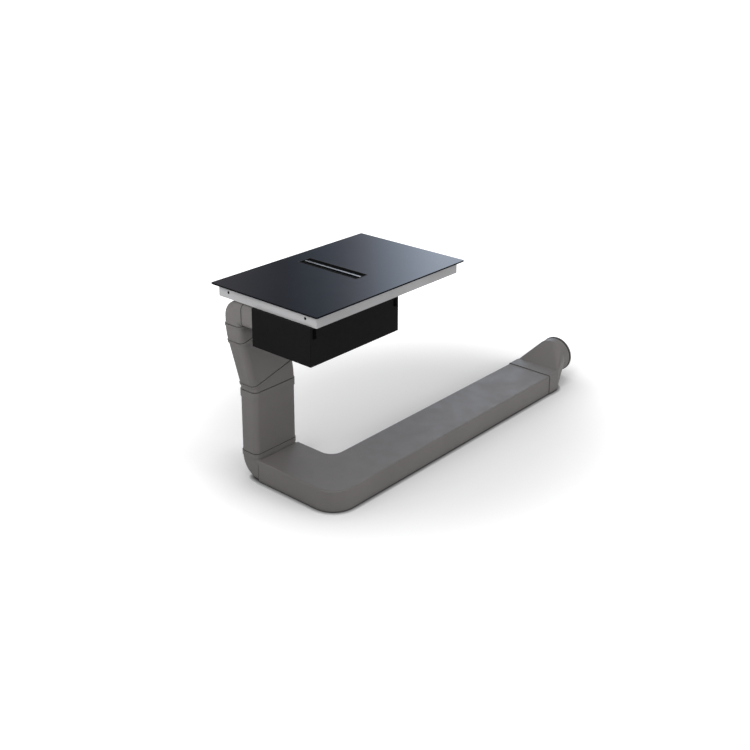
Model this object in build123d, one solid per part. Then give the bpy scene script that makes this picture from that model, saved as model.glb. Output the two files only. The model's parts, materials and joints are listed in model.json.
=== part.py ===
"""Downdraft vent: a glass hob with an extractor slot, its fan casing and its flat duct run.

Every piece is drawn in the hob's own frame: X runs along the hob, Y runs from front to
back, Z is up from the floor, and X = Y = 0 is the centre of the glass. The pieces are
moved together at the end, so that the origin lies under the middle of the whole part.
"""
from build123d import *
import os
from math import cos, radians, sin, sqrt

os.makedirs("parts", exist_ok=True)

# ---------------------------------------------------------------- driving dimensions, mm
worktop_height = 800.0

# hob
glass_length = 830.0
glass_width = 540.0
glass_thickness = 5.0
glass_corner = 6.0
glass_chamfer = 0.6
seal_thickness = 1.5
seal_band = 12.0
seal_inset = 1.5
glass_overhang = 20.0
tray_depth = 46.5
tray_corner = 4.0
sheet = 1.2
side_hole_radius = 4.0
side_hole_spacing = 392.0
side_hole_drop = 24.0

# air inlet in the glass
inlet_length = 304.0
inlet_width = 68.0
inlet_centre_y = 46.0
inlet_corner = 5.0
frame_wall = 3.0
frame_depth = 22.0
frame_ledge = 2.5
frame_ledge_thickness = 2.0
fit_gap = 0.3
grille_recess = 3.0
grille_border = 3.5
grille_slat = 2.0
grille_rib = 2.5
grille_rib_height = 6.0
grille_sections = 3
grille_bar_width = 9.0
grille_bar_thickness = 2.4
grille_bar_corner = 2.2
grille_bar_end_gap = 4.0

# grease filter under the grille, and the shaft that it hangs in
filter_width = 54.0
filter_end_gap = 6.0
filter_depth = 90.0
filter_wall = 1.5
filter_rim = 2.5
filter_post = 8.0
mesh_thickness = 3.0
well_wall = 2.0
well_flange = 8.0
well_foot_height = 50.0

# cooking parts in the tray
coil_rim = 8.0
coil_eye_radius = 24.0
coil_thickness = 5.0
coil_side_gap = 74.0
coil_end_gap = 29.0
carrier_spacing = 18.0
carrier_thickness = 6.0
carrier_post_radius = 5.0
carrier_post_inset = 8.0
board_length = 300.0
board_width = 140.0
board_thickness = 1.6
board_standoff = 4.0
standoff_radius = 4.0
standoff_inset = 8.0
sink_length = 150.0
sink_width = 50.0
sink_height = 20.0
sink_base = 4.0
sink_fins = 9
sink_fin = 1.6
touch_length = 260.0
touch_width = 38.0
touch_thickness = 6.0
touch_front_gap = 14.0
blower_size = 84.0
blower_height = 26.0
blower_wall = 2.0
blower_well_gap = 22.0
blower_eye_radius = 30.0
blower_mouth = 50.0
blower_mouth_depth = 40.0
blower_corner = 4.0
rotor_radius = 34.0
rotor_hub_radius = 12.0
rotor_height = 18.0
rotor_blades = 9
rotor_blade = 1.6
rotor_pin_radius = 2.5
terminal_length = 70.0
terminal_width = 44.0
terminal_height = 24.0
terminal_gap = 6.0
gland_radius = 9.0
gland_bore_radius = 5.0
gland_length = 14.0
gland_flange_radius = 12.0
gland_flange = 2.0
gland_x = 250.0

# fan casing under the tray
casing_side_reach = 13.0
casing_front_inset = 18.0
casing_inlet_margin = 28.0
casing_body_depth = 295.0
casing_height = 146.0
casing_sheet = 1.5
casing_corner = 3.0
casing_arm_gap = 10.0
drip_side_gap = 6.0
drip_depth = 20.0
drip_wall = 2.0
drip_flange = 6.0
drip_flange_thickness = 2.0
screw_radius = 2.0
screw_gap = 0.2
screw_head_radius = 3.6
screw_head_height = 2.2
screw_reach = 6.0
screw_inset = 10.0
screw_tray_inset = 15.0
screw_arm_gap = 30.0
clip_width = 14.0
clip_height = 36.0
clip_drop = 8.0
clip_inset = 13.0
clip_thickness = 2.0
clip_lip = 7.0
clip_lip_rise = 1.6

# fan
wheel_radius = 92.0
wheel_hub_radius = 13.0
wheel_hub_height = 22.0
wheel_blades = 30
wheel_blade = 1.4
wheel_blade_root = 72.0
wheel_blade_lean = 14.0
wheel_blade_bow = 2.0
wheel_rim_inner = 80.0
wheel_plate = 1.6
wheel_height = 48.0
scroll_wall = 2.0
scroll_start_gap = 12.0
scroll_tongue_angle = 66.0
scroll_front_gap = 4.0
scroll_floor = 1.5
eye_radius = 74.0
eye_ring_width = 12.0
eye_ring_height = 8.0
eye_mouth_radius = 4.8
motor_radius = 46.0
motor_height = 36.0
motor_wall = 2.0
motor_end = 9.0
motor_wheel_gap = 3.0
bearing_outer = 11.0
bearing_width = 7.0
shaft_radius = 4.0
running_clearance = 0.05
stator_inner = 24.0
rotor_core_radius = 22.0
core_height = 16.0
control_box_width = 90.0
control_box_depth = 60.0
control_box_height = 40.0

# flat duct and its fittings
duct_width = 220.0
duct_depth = 90.0
duct_wall = 2.0
duct_corner = 22.0
floor_duct_corner = 7.0
collar_rise = 3.0
spigot_side_gap = 6.0
spigot_length = 62.0
spigot_flange = 2.0
spigot_flange_thickness = 1.5
ring_rib = 2.0
ring_wall = 1.5
ring_sleeve = 12.0
ring_bend_sleeve = 4.0
ring_recess = 0.6
ring_gap = 0.3
upper_elbow_lead_in = 10.0
upper_elbow_lead_out = 4.0
upper_elbow_radius = 65.0
elbow_inner_radius = 3.0
upper_bend_rim = 9.0
inclined_rim = 11.0
lower_bend_rim = 8.0
vertical_rim = 30.0
side_bend_angle = 15.0
upper_bend_radius = 160.0
lower_bend_radius = 210.0
inclined_length = 198.5
floor_elbow_lead_in = 21.0
floor_elbow_lead_out = 6.0
floor_elbow_radius = 92.0
floor_elbow_rim = 18.0
corner_lead_in = 185.0
corner_lead_out = 62.0
corner_outer_radius = 95.0
corner_inner_radius = 52.0
floor_duct_length = 1135.7
adapter_collar_length = 68.0
adapter_cone_length = 104.0
adapter_rise = 55.0
adapter_facet = 4.0
socket_bore_radius = 75.5
socket_length = 54.0
socket_wall = 2.5
socket_bead = 2.5
socket_bead_length = 6.0

# backdraft flap in the outlet
flap_pin_radius = 2.0
flap_knuckle_wall = 1.8
flap_thickness = 1.5
flap_gap = 3.5
flap_setback = 8.0
flap_stop_height = 7.5
flap_stop_thickness = 2.0

# ---------------------------------------------------------------- levels and places
glass_bottom = worktop_height + seal_thickness
glass_top = glass_bottom + glass_thickness
tray_length = glass_length - 2 * glass_overhang
tray_width = glass_width - 2 * glass_overhang
tray_bottom = glass_bottom - tray_depth
tray_floor = tray_bottom + sheet
casing_top = tray_bottom
casing_bottom = casing_top - casing_height
casing_floor = casing_bottom + casing_sheet
lid_bottom = casing_top - casing_sheet
casing_left = -tray_length / 2 - casing_side_reach
casing_right = inlet_width / 2 + casing_inlet_margin
casing_front = casing_front_inset - tray_width / 2
casing_rear = casing_front + casing_body_depth
arm_left = -casing_right
frame_bottom = glass_top - frame_depth
ledge_top = frame_bottom + frame_ledge_thickness
inlet_front = inlet_centre_y - inlet_length / 2
inlet_rear = inlet_centre_y + inlet_length / 2
arm_rear = inlet_rear + casing_arm_gap
well_foot = casing_floor + well_foot_height

duct_centre_x = casing_left + spigot_side_gap + duct_width / 2
duct_top = lid_bottom - spigot_flange
spigot_centre_z = duct_top - duct_depth / 2
spigot_left = duct_centre_x - duct_width / 2
spigot_right = duct_centre_x + duct_width / 2
spigot_face = casing_rear - casing_sheet - spigot_flange_thickness


# ---------------------------------------------------------------- helpers
def block(x, y, z):
    """A box between the low and high values of x, y and z."""
    size = (x[1] - x[0], y[1] - y[0], z[1] - z[0])
    centre = ((x[0] + x[1]) / 2, (y[0] + y[1]) / 2, (z[0] + z[1]) / 2)
    return Pos(*centre) * Box(*size)


def plate(width, length, corner, z, x=0, y=0):
    """A plate with rounded plan corners between two levels, width along X, length along Y."""
    return extrude(Pos(x, y, z[0]) * RectangleRounded(width, length, corner), z[1] - z[0])


def rod(radius, start, length, direction=(0, 0, 1)):
    """A round bar from a start point along a direction."""
    return extrude(Plane(origin=start, z_dir=direction) * Circle(radius), length)


def tube(outer, inner, start, length, direction=(0, 0, 1)):
    """A plain tube from a start point along a direction."""
    face = Plane(origin=start, z_dir=direction) * (Circle(outer) - Circle(inner))
    return extrude(face, length)


nodes = {}


def keep(name, shape):
    """Store a finished piece under its node's name, as one solid or a group of solids."""
    solids = shape.solids()
    nodes[name] = solids[0] if len(solids) == 1 else Compound(solids)


# ---------------------------------------------------------------- hob: glass, seal and tray
def inlet_block(inset, z):
    """The plan shape of the inlet, drawn in from its edge by an inset, between two levels."""
    corner = max(inlet_corner - inset, 1.0)
    return plate(inlet_width - 2 * inset, inlet_length - 2 * inset, corner, z, y=inlet_centre_y)


glass = plate(glass_length, glass_width, glass_corner, (glass_bottom, glass_top))
glass = chamfer(glass.faces().sort_by(Axis.Z)[-1].edges(), glass_chamfer)
glass -= inlet_block(-fit_gap, (glass_bottom, glass_top))
keep("glass_plate", glass)

seal_x = glass_length - 2 * seal_inset
seal_y = glass_width - 2 * seal_inset
seal_z = (worktop_height, glass_bottom)
seal = plate(seal_x, seal_y, glass_corner, seal_z)
seal -= plate(seal_x - 2 * seal_band, seal_y - 2 * seal_band, tray_corner, seal_z)
keep("seal_tape", seal)

tray = plate(tray_length, tray_width, tray_corner, (tray_bottom, glass_bottom))
tray -= plate(tray_length - 2 * sheet, tray_width - 2 * sheet, tray_corner - sheet,
              (tray_floor, glass_bottom))
tray -= inlet_block(-fit_gap, (tray_bottom, tray_floor))
side_hole_z = glass_bottom - side_hole_drop
for side_y in (-side_hole_spacing / 2, side_hole_spacing / 2):
    for side_x in (-tray_length / 2 - sheet, tray_length / 2 - 2 * sheet):
        tray -= rod(side_hole_radius, (side_x, side_y, side_hole_z), 3 * sheet, (1, 0, 0))
gland_z = tray_floor + terminal_height / 2
tray -= rod(gland_radius, (gland_x, tray_width / 2 - 2 * sheet, gland_z), 3 * sheet, (0, 1, 0))

# screws hold the fan casing's lid to the tray, outside the scroll and the well
screw_places = [
    (screw_tray_inset - tray_length / 2, casing_front + screw_inset),
    (arm_left - screw_arm_gap, casing_front + screw_inset),
    (casing_right - screw_inset, casing_front + screw_inset),
    (arm_left - screw_arm_gap, casing_rear - screw_inset),
    (casing_right - screw_inset, casing_rear - screw_inset),
    (casing_right - screw_inset, arm_rear - screw_inset),
    (arm_left + screw_inset, arm_rear - screw_inset),
]
screws = []
for screw_x, screw_y in screw_places:
    shank_foot = lid_bottom - screw_reach
    tray -= rod(screw_radius + screw_gap, (screw_x, screw_y, tray_bottom), sheet)
    head = rod(screw_head_radius, (screw_x, screw_y, tray_floor), screw_head_height)
    screws.append(head + rod(screw_radius, (screw_x, screw_y, shank_foot), tray_floor - shank_foot))
keep("hob_tray", tray)
keep("casing_screws", Compound(screws))

# ---------------------------------------------------------------- hob: cooking parts
carrier_radius = (tray_width - 2 * coil_end_gap - carrier_spacing) / 4
coil_radius = carrier_radius - coil_rim
coil_offset_x = tray_length / 2 - coil_side_gap - carrier_radius
coil_offset_y = tray_width / 2 - coil_end_gap - carrier_radius
carrier_top = glass_bottom - coil_thickness
carrier_bottom = carrier_top - carrier_thickness
for side, side_name in ((-1, "left"), (1, "right")):
    for end, end_name in ((-1, "front"), (1, "rear")):
        coil_x = side * coil_offset_x
        coil_y = end * coil_offset_y
        carrier = rod(carrier_radius, (coil_x, coil_y, carrier_bottom), carrier_thickness)
        for post_side in (-1, 1):
            post_x = coil_x + post_side * (carrier_radius - carrier_post_inset)
            post_height = carrier_bottom - tray_floor
            carrier += rod(carrier_post_radius, (post_x, coil_y, tray_floor), post_height)
        keep(f"coil_carrier_{side_name}_{end_name}", carrier)
        winding = tube(coil_radius, coil_eye_radius, (coil_x, coil_y, carrier_top), coil_thickness)
        keep(f"coil_winding_{side_name}_{end_name}", winding)

    board_x = side * coil_offset_x
    board_z = tray_floor + board_standoff
    board_top = board_z + board_thickness
    half_x = board_width / 2
    half_y = board_length / 2
    board = block((board_x - half_x, board_x + half_x), (-half_y, half_y), (board_z, board_top))
    for corner_x in (-1, 1):
        for corner_y in (-1, 1):
            foot_x = board_x + corner_x * (half_x - standoff_inset)
            foot_y = corner_y * (half_y - standoff_inset)
            board += rod(standoff_radius, (foot_x, foot_y, tray_floor), board_standoff)
    keep(f"power_board_{side_name}", board)

    sink_x = (board_x - sink_width / 2, board_x + sink_width / 2)
    sink_y = (-sink_length / 2, sink_length / 2)
    sink = block(sink_x, sink_y, (board_top, board_top + sink_base))
    fin_pitch = (sink_width - sink_fin) / (sink_fins - 1)
    for fin in range(sink_fins):
        fin_x = sink_x[0] + fin * fin_pitch
        sink += block((fin_x, fin_x + sink_fin), sink_y, (board_top + sink_base, board_top + sink_height))
    keep(f"heat_sink_{side_name}", sink)

touch_front = -tray_width / 2 + sheet + touch_front_gap
touch_x = (-touch_length / 2, touch_length / 2)
touch_y = (touch_front, touch_front + touch_width)
keep("touch_board", block(touch_x, touch_y, (glass_bottom - touch_thickness, glass_bottom)))

terminal_rear = tray_width / 2 - sheet - terminal_gap
terminal_x = (gland_x - terminal_length / 2, gland_x + terminal_length / 2)
terminal_y = (terminal_rear - terminal_width, terminal_rear)
keep("terminal_block", block(terminal_x, terminal_y, (tray_floor, tray_floor + terminal_height)))

gland_face = tray_width / 2
gland_inner_face = gland_face - sheet
gland = tube(gland_radius, gland_bore_radius, (gland_x, gland_inner_face, gland_z), gland_length,
             (0, 1, 0))
gland += tube(gland_flange_radius, gland_bore_radius, (gland_x, gland_face, gland_z), gland_flange,
              (0, 1, 0))
keep("cable_gland", gland)

# ---------------------------------------------------------------- hob: cooling blower
blower_y = inlet_front - blower_well_gap - blower_size / 2
blower_top = tray_floor + blower_height
blower = plate(blower_size, blower_size, blower_corner, (tray_floor, blower_top), y=blower_y)
blower -= rod(rotor_radius + 2 * blower_wall, (0, blower_y, tray_floor + blower_wall),
              blower_height - 2 * blower_wall)
blower -= rod(blower_eye_radius, (0, blower_y, blower_top - blower_wall), blower_wall)
mouth_z = (tray_floor + blower_wall, blower_top - blower_wall)
mouth_x = (-blower_mouth / 2, blower_mouth / 2)
blower_front = blower_y - blower_size / 2
blower -= block(mouth_x, (blower_front, blower_front + blower_mouth_depth / 2), mouth_z)
rotor_z = tray_floor + blower_wall + fit_gap
pin_top = rotor_z + rotor_height
blower += rod(rotor_pin_radius, (0, blower_y, tray_floor + blower_wall), pin_top - tray_floor - blower_wall)
keep("blower_housing", blower)

rotor = rod(rotor_hub_radius, (0, blower_y, rotor_z), rotor_height)
for blade in range(rotor_blades):
    vane = block((rotor_hub_radius / 2, rotor_radius), (0, rotor_blade), (0, rotor_height))
    rotor += Pos(0, blower_y, rotor_z) * (Rot(0, 0, blade * 360 / rotor_blades) * vane)
rotor -= rod(rotor_pin_radius + running_clearance, (0, blower_y, rotor_z), rotor_height)
keep("blower_rotor", rotor)

# ---------------------------------------------------------------- inlet: frame, well, grille, filter
inlet_frame = inlet_block(0, (frame_bottom, glass_top))
inlet_frame -= inlet_block(frame_wall, (ledge_top, glass_top))
inlet_frame -= inlet_block(frame_wall + frame_ledge, (frame_bottom, ledge_top))
keep("inlet_frame", inlet_frame)

well = inlet_block(0, (well_foot, frame_bottom))
well += inlet_block(-well_flange, (tray_floor, tray_floor + well_wall))
well -= inlet_block(well_wall, (well_foot, frame_bottom))
keep("inlet_well", well)

rim_inset = frame_wall + fit_gap
rim_z = (ledge_top + fit_gap, ledge_top + fit_gap + filter_rim)
filter_bottom = rim_z[0] - filter_depth
filter_length = inlet_length - 2 * (frame_wall + frame_ledge + filter_end_gap)
filter_x = (-filter_width / 2, filter_width / 2)
filter_y = (inlet_centre_y - filter_length / 2, inlet_centre_y + filter_length / 2)


def inner(pair, inset):
    """A pair of low and high values drawn in by an inset."""
    return (pair[0] + inset, pair[1] - inset)


basket = block(filter_x, filter_y, (filter_bottom, rim_z[0]))
basket += inlet_block(rim_inset, rim_z)
basket -= block(inner(filter_x, filter_wall), inner(filter_y, filter_wall),
                (filter_bottom + filter_wall, rim_z[1]))
window_y = inner(filter_y, filter_post)
window_z = inner((filter_bottom, rim_z[0]), filter_post)
basket -= block((filter_x[0], filter_x[1]), window_y, window_z)
keep("filter_basket", basket)

for side, side_name in ((-1, "left"), (1, "right")):
    mesh_outer = side * filter_width / 2
    mesh_inner = side * (filter_width / 2 - mesh_thickness)
    mesh_x = (min(mesh_outer, mesh_inner), max(mesh_outer, mesh_inner))
    keep(f"filter_mesh_{side_name}", block(mesh_x, window_y, window_z))

grille_z = (rim_z[1], glass_top - grille_recess)
grille_bar_z = (grille_z[1], grille_z[1] + grille_bar_thickness)
grille = inlet_block(rim_inset, grille_z) - inlet_block(rim_inset + grille_border, grille_z)
slot_y = inner((inlet_front, inlet_rear), rim_inset + grille_border)
slot_edge = inlet_width / 2 - rim_inset - grille_border
bar_half = grille_bar_width / 2
grille += block((-bar_half, bar_half), slot_y, grille_z)
slat_x = (bar_half + slot_edge) / 2
for side in (-1, 1):
    centre = side * slat_x
    grille += block((centre - grille_slat / 2, centre + grille_slat / 2), slot_y, grille_z)
section_length = (slot_y[1] - slot_y[0]) / grille_sections
for rib in range(1, grille_sections):
    rib_y = slot_y[0] + rib * section_length
    rib_z = (grille_z[0], grille_z[0] + grille_rib_height)
    grille += block((-slot_edge, slot_edge), (rib_y - grille_rib / 2, rib_y + grille_rib / 2), rib_z)
keep("inlet_grille", grille)

bar_y = inner((inlet_front, inlet_rear), rim_inset + grille_bar_end_gap)
bar = block((-bar_half, bar_half), bar_y, grille_bar_z)
bar = fillet(bar.edges().filter_by(Axis.Z), grille_bar_corner)
keep("grille_bar", bar)


# ---------------------------------------------------------------- fan casing
def casing_block(inset, z):
    """The L-shaped plan of the casing, drawn in by an inset, between two levels."""
    left = casing_left + inset
    right = casing_right - inset
    arm = arm_left + inset
    front = casing_front + inset
    rear = casing_rear - inset
    far = arm_rear - inset
    corners = [(left, front), (right, front), (right, far), (arm, far), (arm, rear), (left, rear)]
    outline = make_face(Polyline(*corners, close=True))
    if inset < casing_corner:
        outline = fillet(outline.vertices(), casing_corner - inset)
    return extrude(Pos(0, 0, z[0]) * outline, z[1] - z[0])


drip_x = (-inlet_width / 2 - drip_side_gap, inlet_width / 2 + drip_side_gap)
drip_y = (inlet_front, inlet_rear)
spigot_place = Plane(origin=(duct_centre_x, casing_rear, spigot_centre_z), x_dir=(1, 0, 0), z_dir=(0, 1, 0))


def section(seam, inset, corner=duct_corner):
    """The duct's rounded cross-section on a plane, drawn in by an inset."""
    rounding = max(corner - inset, 1.0)
    return seam * RectangleRounded(duct_width - 2 * inset, duct_depth - 2 * inset, rounding)


casing = casing_block(0, (casing_bottom, lid_bottom))
casing -= casing_block(casing_sheet, (casing_floor, lid_bottom))
casing -= block(inner(drip_x, -fit_gap), inner(drip_y, -fit_gap), (casing_bottom, casing_floor))
casing -= extrude(section(spigot_place.offset(-casing_sheet), 0), casing_sheet)
keep("fan_casing", casing)

lid = casing_block(0, (lid_bottom, casing_top)) - inlet_block(-fit_gap, (lid_bottom, casing_top))
for screw_x, screw_y in screw_places:
    lid -= rod(screw_radius + screw_gap, (screw_x, screw_y, lid_bottom), casing_sheet)
keep("casing_lid", lid)

# spring clips hold the lid to the casing's front face
clips = []
for clip_x in (casing_left + clip_inset, casing_right - clip_inset - clip_width):
    clip_z = (casing_top - clip_drop - clip_height, casing_top - clip_drop)
    clip = block((clip_x, clip_x + clip_width), (casing_front - clip_thickness, casing_front), clip_z)
    lip_y = (casing_front - clip_thickness - clip_lip_rise, casing_front - clip_thickness)
    clip += block((clip_x, clip_x + clip_width), lip_y, (clip_z[0], clip_z[0] + clip_lip))
    clips.append(fillet(clip.edges().filter_by(Axis.Y), clip_thickness))
keep("casing_clips", Compound(clips))

drip_top = casing_floor + drip_depth
drip_flange_z = (casing_bottom - fit_gap - drip_flange_thickness, casing_bottom - fit_gap)
drip = block(drip_x, drip_y, (drip_flange_z[0], drip_top))
drip += block(inner(drip_x, -drip_flange), inner(drip_y, -drip_flange), drip_flange_z)
drip -= block(inner(drip_x, drip_wall), inner(drip_y, drip_wall), (drip_flange_z[1], drip_top))
keep("drip_tray", drip)

control_x = (casing_right - casing_sheet - control_box_width, casing_right - casing_sheet)
control_y = (casing_front + casing_sheet, casing_front + casing_sheet + control_box_depth)
control_box = block(control_x, control_y, (casing_floor, casing_floor + control_box_height))
keep("control_box", fillet(control_box.edges().filter_by(Axis.Z), 2 * casing_sheet))

# ---------------------------------------------------------------- fan: scroll, wheel and motor
scroll_start = wheel_radius + scroll_start_gap
scroll_left = spigot_left + duct_wall
scroll_right = spigot_right - duct_wall
wheel_x = scroll_right - scroll_start * cos(radians(scroll_tongue_angle))
scroll_end = wheel_x - scroll_left
scroll_turn = scroll_tongue_angle + 180.0


def scroll_radius(turned):
    """Radius of the scroll's inner face after a turn in degrees from the tongue."""
    return scroll_start + (scroll_end - scroll_start) * turned / scroll_turn


scroll_front_radius = scroll_radius(scroll_tongue_angle + 90.0)
wheel_y = casing_front + casing_sheet + scroll_front_gap + scroll_wall + scroll_front_radius
scroll_floor_top = duct_top - duct_depth + duct_wall
scroll_spiral_points = 28


def scroll_face(offset):
    """The scroll's plan out to a wall offset: a spiral round the wheel and its straight mouth."""
    points = []
    for step in range(scroll_spiral_points + 1):
        turned = scroll_turn * step / scroll_spiral_points
        angle = radians(scroll_tongue_angle - turned)
        reach = scroll_radius(turned) + offset
        points.append((wheel_x + reach * cos(angle), wheel_y + reach * sin(angle)))
    mouth_left = (points[-1][0], spigot_face)
    mouth_right = (scroll_right + offset, spigot_face)
    tongue = (scroll_right + offset, points[0][1])
    spiral = Spline(*points)
    mouth = Polyline(points[-1], mouth_left, mouth_right, tongue)
    closing = [spiral, mouth]
    if abs(points[0][0] - tongue[0]) > 1e-6:
        closing.append(Line(tongue, points[0]))
    return make_face(closing)


scroll = extrude(Pos(0, 0, scroll_floor_top - scroll_floor) * scroll_face(scroll_wall),
                 lid_bottom - scroll_floor_top + scroll_floor)
scroll -= extrude(Pos(0, 0, scroll_floor_top) * scroll_face(0), lid_bottom - scroll_floor_top)
scroll -= rod(eye_radius, (wheel_x, wheel_y, scroll_floor_top - scroll_floor), scroll_floor)
keep("fan_scroll", scroll)

eye_top = scroll_floor_top - scroll_floor
eye_ring = tube(eye_radius + eye_ring_width, eye_radius,
                (wheel_x, wheel_y, eye_top - eye_ring_height), eye_ring_height)
eye_mouth = eye_ring.faces().sort_by(Axis.Z)[0].edges().sort_by(SortBy.LENGTH)[0]
keep("fan_eye_ring", fillet(eye_mouth, eye_mouth_radius))

motor_bottom = lid_bottom - motor_height
motor = rod(motor_radius, (wheel_x, wheel_y, motor_bottom), motor_height)
motor -= rod(motor_radius - motor_wall, (wheel_x, wheel_y, motor_bottom + motor_end),
             motor_height - motor_end)
motor -= rod(bearing_outer, (wheel_x, wheel_y, motor_bottom + motor_end - bearing_width), bearing_width)
motor -= rod(shaft_radius + motor_wall, (wheel_x, wheel_y, motor_bottom), motor_end)
keep("motor_housing", motor)

cap_bottom = lid_bottom - motor_end
motor_cap = rod(motor_radius - motor_wall, (wheel_x, wheel_y, cap_bottom), motor_end)
motor_cap -= rod(bearing_outer, (wheel_x, wheel_y, cap_bottom), bearing_width)
keep("motor_cap", motor_cap)

lower_bearing_z = motor_bottom + motor_end - bearing_width
bearing_bore = shaft_radius + running_clearance
for bearing_name, bearing_z in (("lower", lower_bearing_z), ("upper", cap_bottom)):
    bearing = tube(bearing_outer, bearing_bore, (wheel_x, wheel_y, bearing_z), bearing_width)
    keep(f"motor_bearing_{bearing_name}", bearing)

core_z = (motor_bottom + motor_end + cap_bottom - core_height) / 2
stator = tube(motor_radius - motor_wall, stator_inner, (wheel_x, wheel_y, core_z), core_height)
keep("motor_stator", stator)
keep("motor_rotor", tube(rotor_core_radius, shaft_radius, (wheel_x, wheel_y, core_z), core_height))

wheel_top = motor_bottom - motor_wheel_gap
wheel_bottom = wheel_top - wheel_height
hub_bottom = wheel_top - wheel_hub_height
shaft_top = cap_bottom + bearing_width - fit_gap
keep("motor_shaft", rod(shaft_radius, (wheel_x, wheel_y, hub_bottom), shaft_top - hub_bottom))

wheel = rod(wheel_radius, (0, 0, wheel_height - wheel_plate), wheel_plate)
wheel += rod(wheel_hub_radius, (0, 0, wheel_height - wheel_hub_height), wheel_hub_height)
wheel += tube(wheel_radius, wheel_rim_inner, (0, 0, 0), wheel_plate)
lean = radians(wheel_blade_lean)
root = (wheel_blade_root, 0)
tip_reach = wheel_radius - wheel_plate
tip = (tip_reach * cos(lean), -tip_reach * sin(lean))
middle = ((root[0] + tip[0]) / 2 - wheel_blade_bow, (root[1] + tip[1]) / 2 + wheel_blade_bow)
blade_line = ThreePointArc(root, middle, tip)
blade_face = trace(blade_line, wheel_blade)
blade_solid = extrude(blade_face, wheel_height)
blades = [Rot(0, 0, turn * 360 / wheel_blades) * blade_solid for turn in range(wheel_blades)]
wheel = wheel + blades
wheel -= rod(shaft_radius, (0, 0, 0), wheel_height)
keep("fan_wheel", Pos(wheel_x, wheel_y, wheel_bottom) * wheel)


# ---------------------------------------------------------------- duct fittings
def seam_slab(seam):
    """The slice of space that a joint ring's rib takes between two duct pieces."""
    return seam.location * Box(2 * duct_width, 2 * duct_depth, ring_rib)


def straight_duct(seam, length, corner=duct_corner):
    """A straight length of flat duct from a seam, and the seam at its far end."""
    return extrude(section(seam, 0, corner) - section(seam, duct_wall, corner), length), seam.offset(length)


def side_bend(seam, side, radius):
    """A gentle bend towards one narrow side of the duct, and the seam at its far end."""
    centre = seam.origin + seam.x_dir * (side * radius)
    axis = Axis(centre, seam.y_dir * side)
    body = revolve(section(seam, 0) - section(seam, duct_wall), axis, side_bend_angle)
    angle = radians(side_bend_angle)
    z_dir = seam.z_dir * cos(angle) + seam.x_dir * (side * sin(angle))
    x_dir = seam.x_dir * cos(angle) - seam.z_dir * (side * sin(angle))
    end = Plane(origin=centre - x_dir * (side * radius), x_dir=x_dir, z_dir=z_dir)
    return body, end


def corner_solid(place, across, deep, lead_in, lead_out, start, outer_radius, inner_radius, edge_radius):
    """A right-angled duct corner as a full solid: two legs with rounded corners and long edges."""
    half = across / 2
    far = lead_in + across
    tall = half + lead_out
    corners = [(start, -half), (far, -half), (far, tall), (lead_in, tall), (lead_in, half), (start, half)]
    outline = make_face(Polyline(*corners, close=True))
    outer_corner = outline.vertices().sort_by_distance((far, -half, 0))[0]
    outline = fillet(outer_corner, outer_radius)
    inner_corner = outline.vertices().sort_by_distance((lead_in, half, 0))[0]
    outline = fillet(inner_corner, inner_radius)
    solid = extrude(outline, deep / 2, both=True)
    long_edges = []
    for edge in solid.edges():
        middle = edge.center()
        on_face = abs(abs(middle.Z) - deep / 2) < 1e-3
        on_start = abs(middle.X - start) < 1e-3
        on_end = abs(middle.Y - tall) < 1e-3
        if on_face and not on_start and not on_end:
            long_edges.append(edge)
    return place.location * fillet(long_edges, edge_radius)


def square_corner(seam, turn_dir, across, deep, lead_in, lead_out, outer_radius, inner_radius, corner):
    """A hollow right-angled corner that turns the duct towards a direction, and its far seam."""
    place = Plane(origin=seam.origin, x_dir=seam.z_dir, z_dir=seam.z_dir.cross(turn_dir))
    outer = corner_solid(place, across, deep, lead_in, lead_out, 0,
                         outer_radius, inner_radius, corner)
    hollow = corner_solid(place, across - 2 * duct_wall, deep - 2 * duct_wall, lead_in + duct_wall,
                          lead_out + 2 * duct_wall, -duct_wall,
                          outer_radius - duct_wall, inner_radius + duct_wall, corner - duct_wall)
    origin = seam.origin + seam.z_dir * (lead_in + across / 2) + turn_dir * (across / 2 + lead_out)
    x_dir = seam.x_dir
    if across == duct_width:
        x_dir = seam.z_dir * -1
    end = Plane(origin=origin, x_dir=x_dir, z_dir=turn_dir)
    return outer - hollow, end


def rim(seam, length):
    """A proud rim round the entry of a duct piece, bonded into the outer half of its wall."""
    outline = RectangleRounded(duct_width + 2 * collar_rise, duct_depth + 2 * collar_rise,
                               duct_corner + collar_rise)
    return extrude(seam * outline - section(seam, duct_wall / 2), length)


def joint_ring(seam, before, after, corner=duct_corner):
    """A sealing ring between two duct pieces: a sleeve inside both and a thin rib between them."""
    return joint_sleeve(seam, before, after, corner) + rib_ring(seam, corner)


def joint_sleeve(seam, before, after, corner):
    """The part of a joint that lies inside both duct pieces."""
    gap = duct_wall + ring_gap
    start = seam.offset(-before)
    return extrude(section(start, gap, corner) - section(start, gap + ring_wall, corner), before + after)


def rib_ring(seam, corner):
    """The thin rib of a joint that shows between the ends of two duct pieces."""
    start = seam.offset(-ring_rib / 2)
    inset = duct_wall + ring_gap + ring_wall
    return extrude(section(start, ring_recess, corner) - section(start, inset, corner), ring_rib)


# ---------------------------------------------------------------- outlet spigot and backdraft flap
spigot_inner_left = spigot_left + duct_wall
spigot_inner_right = spigot_right - duct_wall
spigot_inner_bottom = duct_top - duct_depth + duct_wall
spigot_seam = spigot_place.offset(spigot_length)

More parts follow.
